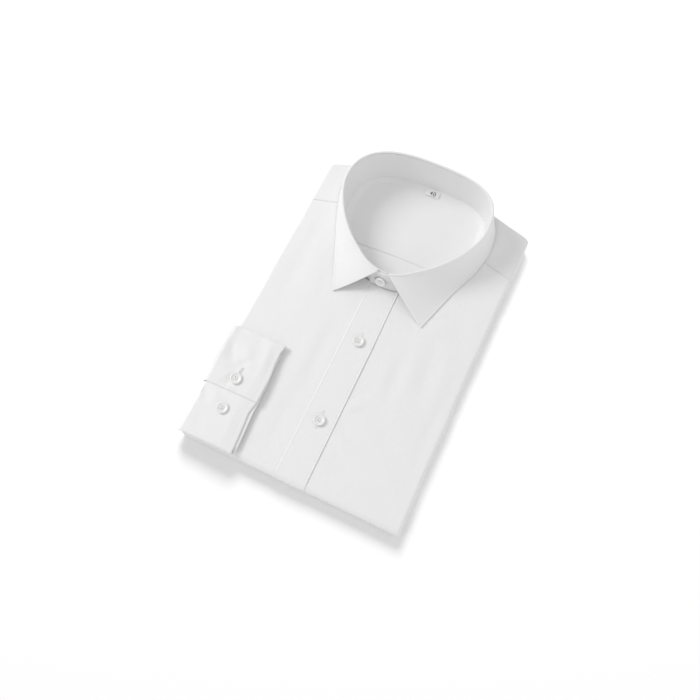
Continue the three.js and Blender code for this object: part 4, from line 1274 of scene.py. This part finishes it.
def yoke_rows():
    line, way = inset_line(yoke_face, 1, 2.2, 1)
    seam = np.abs(line[:, 1] - seam_y(line[:, 0])) < 4
    for side in (-1, 1):
        keep = seam & (side * line[:, 0] > 40) & (side * line[:, 0] < HALF_WIDTH - 1)
        yield row_of(line[keep], way[keep], pitch=2.4, length=1.7)
    yield row_of(*inset_line(inner_face, 1, 2.4, -1), **WIDE, start=7, stop=140)


def collar_rows():
    yield row_of(*inset_line(leaf_face, 1, LEAF_STITCH, 1, far=True), **FINE, start=2)
    for far in (False, True):
        yield row_of(*inset_line(leaf_face, 0, LEAF_STITCH, 1, far), **FINE, start=12)
    yield row_of(*inset_line(stand_face, 1, 4.0, -1), **FINE, start=6)
    line, way = inset_line(stand_face, 1, 2.4, -1, far=True)
    yield row_of(line - way * STAND, -way, **FINE, start=20, stop=440)


placket_rows = [row_of(*inset_line(placket_face, 0, 2.0, 1, far), **WIDE, start=6) for far in (False, True)]
cuff_rows = [
    row_of(*inset_line(cuff_face, 0, CUFF_STITCH, -1, far=True), **FINE),
    row_of(*inset_line(cuff_face, 1, OVERLAP_STITCH, -1), **FINE, start=1),
    row_of(*inset_line(cuff_face, 0, 2.0, -1), **FINE),
    row_of(*inset_line(sleeve_face, 0, 6.0, -1, far=True), **FINE),
]
shirt_stitches = sewn("shirt_stitches", np.concatenate([*placket_rows, *yoke_rows()]), THREAD, white_thread, 3)
collar_stitches = sewn("collar_stitches", np.concatenate([*collar_rows(), *cuff_rows]), THREAD, white_thread, 5)

# %% [markdown]
# A buttonhole is a slit between two bars of close satin stitches, with a bar across each end. The placket's
# buttonholes run down the band, the collar's runs along the stand, and the cuff's across its strip.

# %% Buttonholes and button thread
SATIN, SATIN_PITCH = 0.24, 0.42  # radius of the thread, and its bars' distance
SLIT, SATIN_OUT, END_BAR = 0.32, 1.3, 1.15  # from the slit: inner and outer end of a bar, half of an end bar


def buttonhole(point, up, length=15.0):
    """Satin stitches round a slit; point gives the cloth's place from the distances along and across the slit."""
    up = np.array(up, float)
    bars = []
    for at in np.arange(-length / 2, length / 2 + 0.01, SATIN_PITCH):
        for side in (-1, 1):
            bars.append([point(at, SLIT * side) + up * 0.16, point(at, SATIN_OUT * side) + up * 0.1])
    for end in (-1, 1):
        for step in (0.2, 0.6, 1.0):
            at = end * (length / 2 + step)
            bars.append([point(at, side * END_BAR) + up * 0.12 for side in (-1, 1)])
    return bars


def on_placket(x, y):
    return np.array((x, y, top_z(x, y) + PLACKET_RISE + marks(x, y) + 0.02))


def on_cuff(x, y):
    return np.array((x, y, cuff_top(x, y) + creases(x, y, CUFF_MARKS) + 0.05))


stand_up = np.array([0, -math.sin(STAND_LEAN), math.cos(STAND_LEAN)])
stand_across = np.cross(stand_up, (1, 0, 0))
collar_at = np.array(BUTTONS["button_collar"][0])
satin = [
    *buttonhole(lambda run, over: on_placket(2 + over, 159.8 + run), (0, 0, 1), 18.5),
    *buttonhole(lambda run, over: on_placket(2 + over, 69.3 + run), (0, 0, 1), 18.5),
    *buttonhole(lambda run, over: on_cuff(-91 + over, 74.5 + run), (0, 0, 1)),
    *buttonhole(lambda run, over: collar_at + stand_up * 0.05 + stand_across * over + (1.5 + run, 0, 0), stand_up),
]
buttonholes = sewn("buttonhole_satin", satin, SATIN, white_thread, 7, 0.95)


def button_threads(at, lean):
    """Three threads over each pair of holes."""
    a, z = HOLE_AT / math.sqrt(2), BUTTON_ABOVE + 1.38
    ends = [(hole * a + beside, end * 1.25 * a, z) for hole in (-1, 1) for beside in (-0.3, 0, 0.3) for end in (-1, 1)]
    return placed(np.array(ends), at, lean).reshape(-1, 2, 3)


holding = sewn("button_threads", np.concatenate([button_threads(*where) for where in BUTTONS.values()]), 0.27,
               white_thread, 11, 0.98)

# %% [markdown]
# The label's figures are a generic size. They are strokes of grey thread, because a size on a woven label is
# thread too, and a font would look printed.

# %% Figures of the label
FIGURES = [  # a four and a nought, each stroke by its ends, 5 high
    [(2.2, 0), (2.2, 5)], [(2.2, 5), (0, 1.8)], [(0, 1.8), (3.1, 1.8)],
    [(4.4, 0.9), (4.4, 4.1)], [(4.4, 4.1), (5.2, 5)], [(5.2, 5), (6.2, 5)], [(6.2, 5), (7.0, 4.1)],
    [(7.0, 4.1), (7.0, 0.9)], [(7.0, 0.9), (6.2, 0)], [(6.2, 0), (5.2, 0)], [(5.2, 0), (4.4, 0.9)],
]


def label_figures(size=0.86):
    strokes = []
    for a, b in FIGURES:
        ends = [(2.3 + (x - 3.5) * size, 355.2 + (y - 2.5) * size) for x, y in (a, b)]
        strokes.append([(x, y, floor_z(y) + LABEL_ABOVE + 0.55) for x, y in ends])
    return strokes


figures = sewn("label_figures", label_figures(), 0.42, grey_thread, 13, 1.0)

# %% [markdown]
# Each piece says which body it rides on, which CAD node it stands for and which slot it is finished from.
# Thread is sewn on, and stands for no node.

# %% Bodies, replaced nodes and slots
SHIRT, COLLAR, LABEL_SLOT, BUTTON_SLOT = "shirt_cotton", "collar_cotton", "label_tape", "button_resin"
STANDS_FOR = [
    (front_right, "front_right", SHIRT), (front_left, "front_left", SHIRT), (placket, "placket", SHIRT),
    (yoke, "yoke", SHIRT), (yoke_inner, "yoke_inner", SHIRT), (back, "back", SHIRT),
    (collar_stand, "collar_stand", COLLAR), (collar_leaf, "collar_leaf", COLLAR),
    (sleeve, "sleeve_right", SHIRT), (cuff, "cuff_right", COLLAR), (neck_label, "neck_label", LABEL_SLOT),
    *((piece, "folded_layers", SHIRT) for piece in inner_layers),
    *((piece, name, BUTTON_SLOT) for name, piece in buttons.items()),
]
SEWN_ON = [(shirt_stitches, SHIRT), (collar_stitches, COLLAR), (buttonholes, COLLAR), (holding, BUTTON_SLOT),
           (figures, LABEL_SLOT)]
for piece, node, slot_name in STANDS_FOR:
    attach(piece, "root")
    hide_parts(node)
for piece, slot_name in SEWN_ON:
    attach(piece, "root")

print(len(STANDS_FOR), "pieces stand for CAD nodes,", len(SEWN_ON), "are sewn on")

# %% [markdown]
# Each sheet says the rectangle that its cloth was cut from, how much of it the cloth fills, and what it lies on.
# The sizes are worked out from the driving sizes, as a cutter would measure them before anything is folded.

# %% Sheets and the size each was cut to
SHEETS = [  # piece, cut width, cut length, share of that rectangle, what it rests on
    (front_right, 0.130, 0.650, 0.88, "inner_front_layer"),
    (front_left, 0.130, 0.650, 0.92, "inner_front_layer"),
    (placket, 0.032, 0.580, 1.0, "inner_front_layer"),
    (yoke, 0.290, 0.095, 0.46, "inner_front_layer"),
    (yoke_inner, 0.164, 0.092, 0.94, "inner_back_layer"),
    (back, 0.160, 0.038, 0.73, "inner_back_layer"),
    (collar_stand, 0.466, 0.037, 0.96, "yoke_cloth"),
    (collar_leaf, 0.520, 0.066, 0.58, "collar_stand_band"),
    (sleeve, 0.270, 0.016, 0.92, "inner_back_layer"),
    (cuff, 0.262, 0.060, 0.95, "front_right_cloth"),
    (neck_label, 0.0165, 0.0100, 0.95, "yoke_inner_cloth"),
    (inner_layers[0], 0.219, 0.672, 1.0, "front_right_cloth"),
    (inner_layers[1], 0.212, 0.676, 1.0, "inner_back_layer"),
    (inner_layers[2], 0.222, 0.680, 1.0, "inner_sleeve_layer"),
    (inner_layers[3], 0.216, 0.688, 1.0, "inner_tail_layer"),
]
for piece, width, length, share, below in SHEETS:
    width * length * share
print(f"cloth in all: {sum(width * length * share for _, width, length, share, _ in SHEETS):.2f} m2")

# %% [markdown]
# The camera looks down steeply, from beyond the bottom fold and a little to the wearer's left. A lens as wide as
# its sensor, at arm's length, gives the slight narrowing towards the collar.

# %% Camera
AIM = np.array([-4.66, 153.01, 0.0])
DISTANCE, AZIMUTH, ELEVATION = 732.9, math.radians(25.24), math.radians(69.87)
back_way = np.array([math.sin(AZIMUTH) * math.cos(ELEVATION), -math.cos(AZIMUTH) * math.cos(ELEVATION),
                     math.sin(ELEVATION)])
camera_data = bpy.data.cameras.new("camera")
camera_data.lens, camera_data.sensor_width = 36, 36
camera_data.clip_start, camera_data.clip_end = 0.01, 50
camera = add_object("camera", camera_data)
camera.location = (AIM + back_way * DISTANCE) * MM + GARMENT_ORIGIN
camera.rotation_euler = (math.pi / 2 - ELEVATION, 0, AZIMUTH)
bpy.context.scene.camera = camera
print(f"camera {DISTANCE:.0f} mm from its aim, {math.degrees(ELEVATION):.1f} degrees up")

# %% [markdown]
# The shirt lies on a white sheet. One plane does, because its edges are far out of view. It glows faintly, so
# that it stays white while the light on it is still soft enough for a pale shadow.

# %% Floor
FLOOR_GLOW = 0.05  # as a light table, so that the sheet under the shirt stays white
FLOOR_HALF = 4.0  # metres
corners = [(FLOOR_HALF * x, FLOOR_HALF * y, 0) for x, y in ((-1, -1), (1, -1), (1, 1), (-1, 1))]
floor_mesh = bpy.data.meshes.new("floor")
floor_mesh.from_pydata(corners, [], [(0, 1, 2, 3)])
floor_mesh.materials.append(finish("pale_floor", lambda tree: dict(
    Base_Color=(0.98, 0.98, 0.98, 1), Roughness=0.9, Emission_Color=(1, 1, 1, 1), Emission_Strength=FLOOR_GLOW)))
floor_sheet = add_object("floor", floor_mesh)
floor_sheet.location.z = -0.0002
print("floor:", 2 * FLOOR_HALF, "m square, glow", FLOOR_GLOW)

# %% [markdown]
# The key light comes from the wearer's right, low enough for the folds to cast soft shadows. Two weak lights,
# from the front and from the other side, lift the shadows a little. A fourth light, from behind the collar,
# gives the narrow shadow on the floor. Light linking gives each light its own receivers, so that the shirt and
# the floor can be balanced apart.

# %% Lights
def soft_light(name, towards, distance, size, share, receivers):
    """An area light that gives a level surface a share of full white."""
    way = Vector(towards).normalized()
    data = bpy.data.lights.new(name, "AREA")
    data.shape, data.size = "DISK", size
    data.energy = share * math.pi ** 2 * distance ** 2 / way.z
    light = add_object(name, data)
    light.location = way * distance
    light.rotation_euler = way.to_track_quat("Z", "Y").to_euler()
    lit = bpy.data.collections.new(name + "_receivers")
    for piece in receivers:
        lit.objects.link(piece)
    light.light_linking.receiver_collection = lit


shirt_pieces = [piece for piece, *_ in [*STANDS_FOR, *SEWN_ON]]
LIGHTS = [  # name, direction, distance and diameter in metres, share of full white, what it lights
    ("key_light", (-1.0, 0.08, 0.86), 2.2, 0.95, 0.28, shirt_pieces),
    ("front_light", (0.35, -0.9, 0.5), 2.2, 1.4, 0.02, shirt_pieces),
    ("side_light", (1.0, -0.2, 0.5), 2.2, 1.4, 0.028, shirt_pieces),
    ("floor_light", (-0.43, 0.90, 0.80), 3.2, 1.4, 0.435, [floor_sheet]),
]
for described in LIGHTS:
    soft_light(*described)
print("lights:", {name: share for name, *_, share, _ in LIGHTS})

world = bpy.data.worlds.new("studio")
bpy.context.scene.world = world
world.use_nodes = True
sky = world.node_tree.nodes["Background"]
sky.inputs["Color"].default_value, sky.inputs["Strength"].default_value = (1, 1, 1, 1), 0.64
bpy.context.scene.view_settings.view_transform = "Standard"
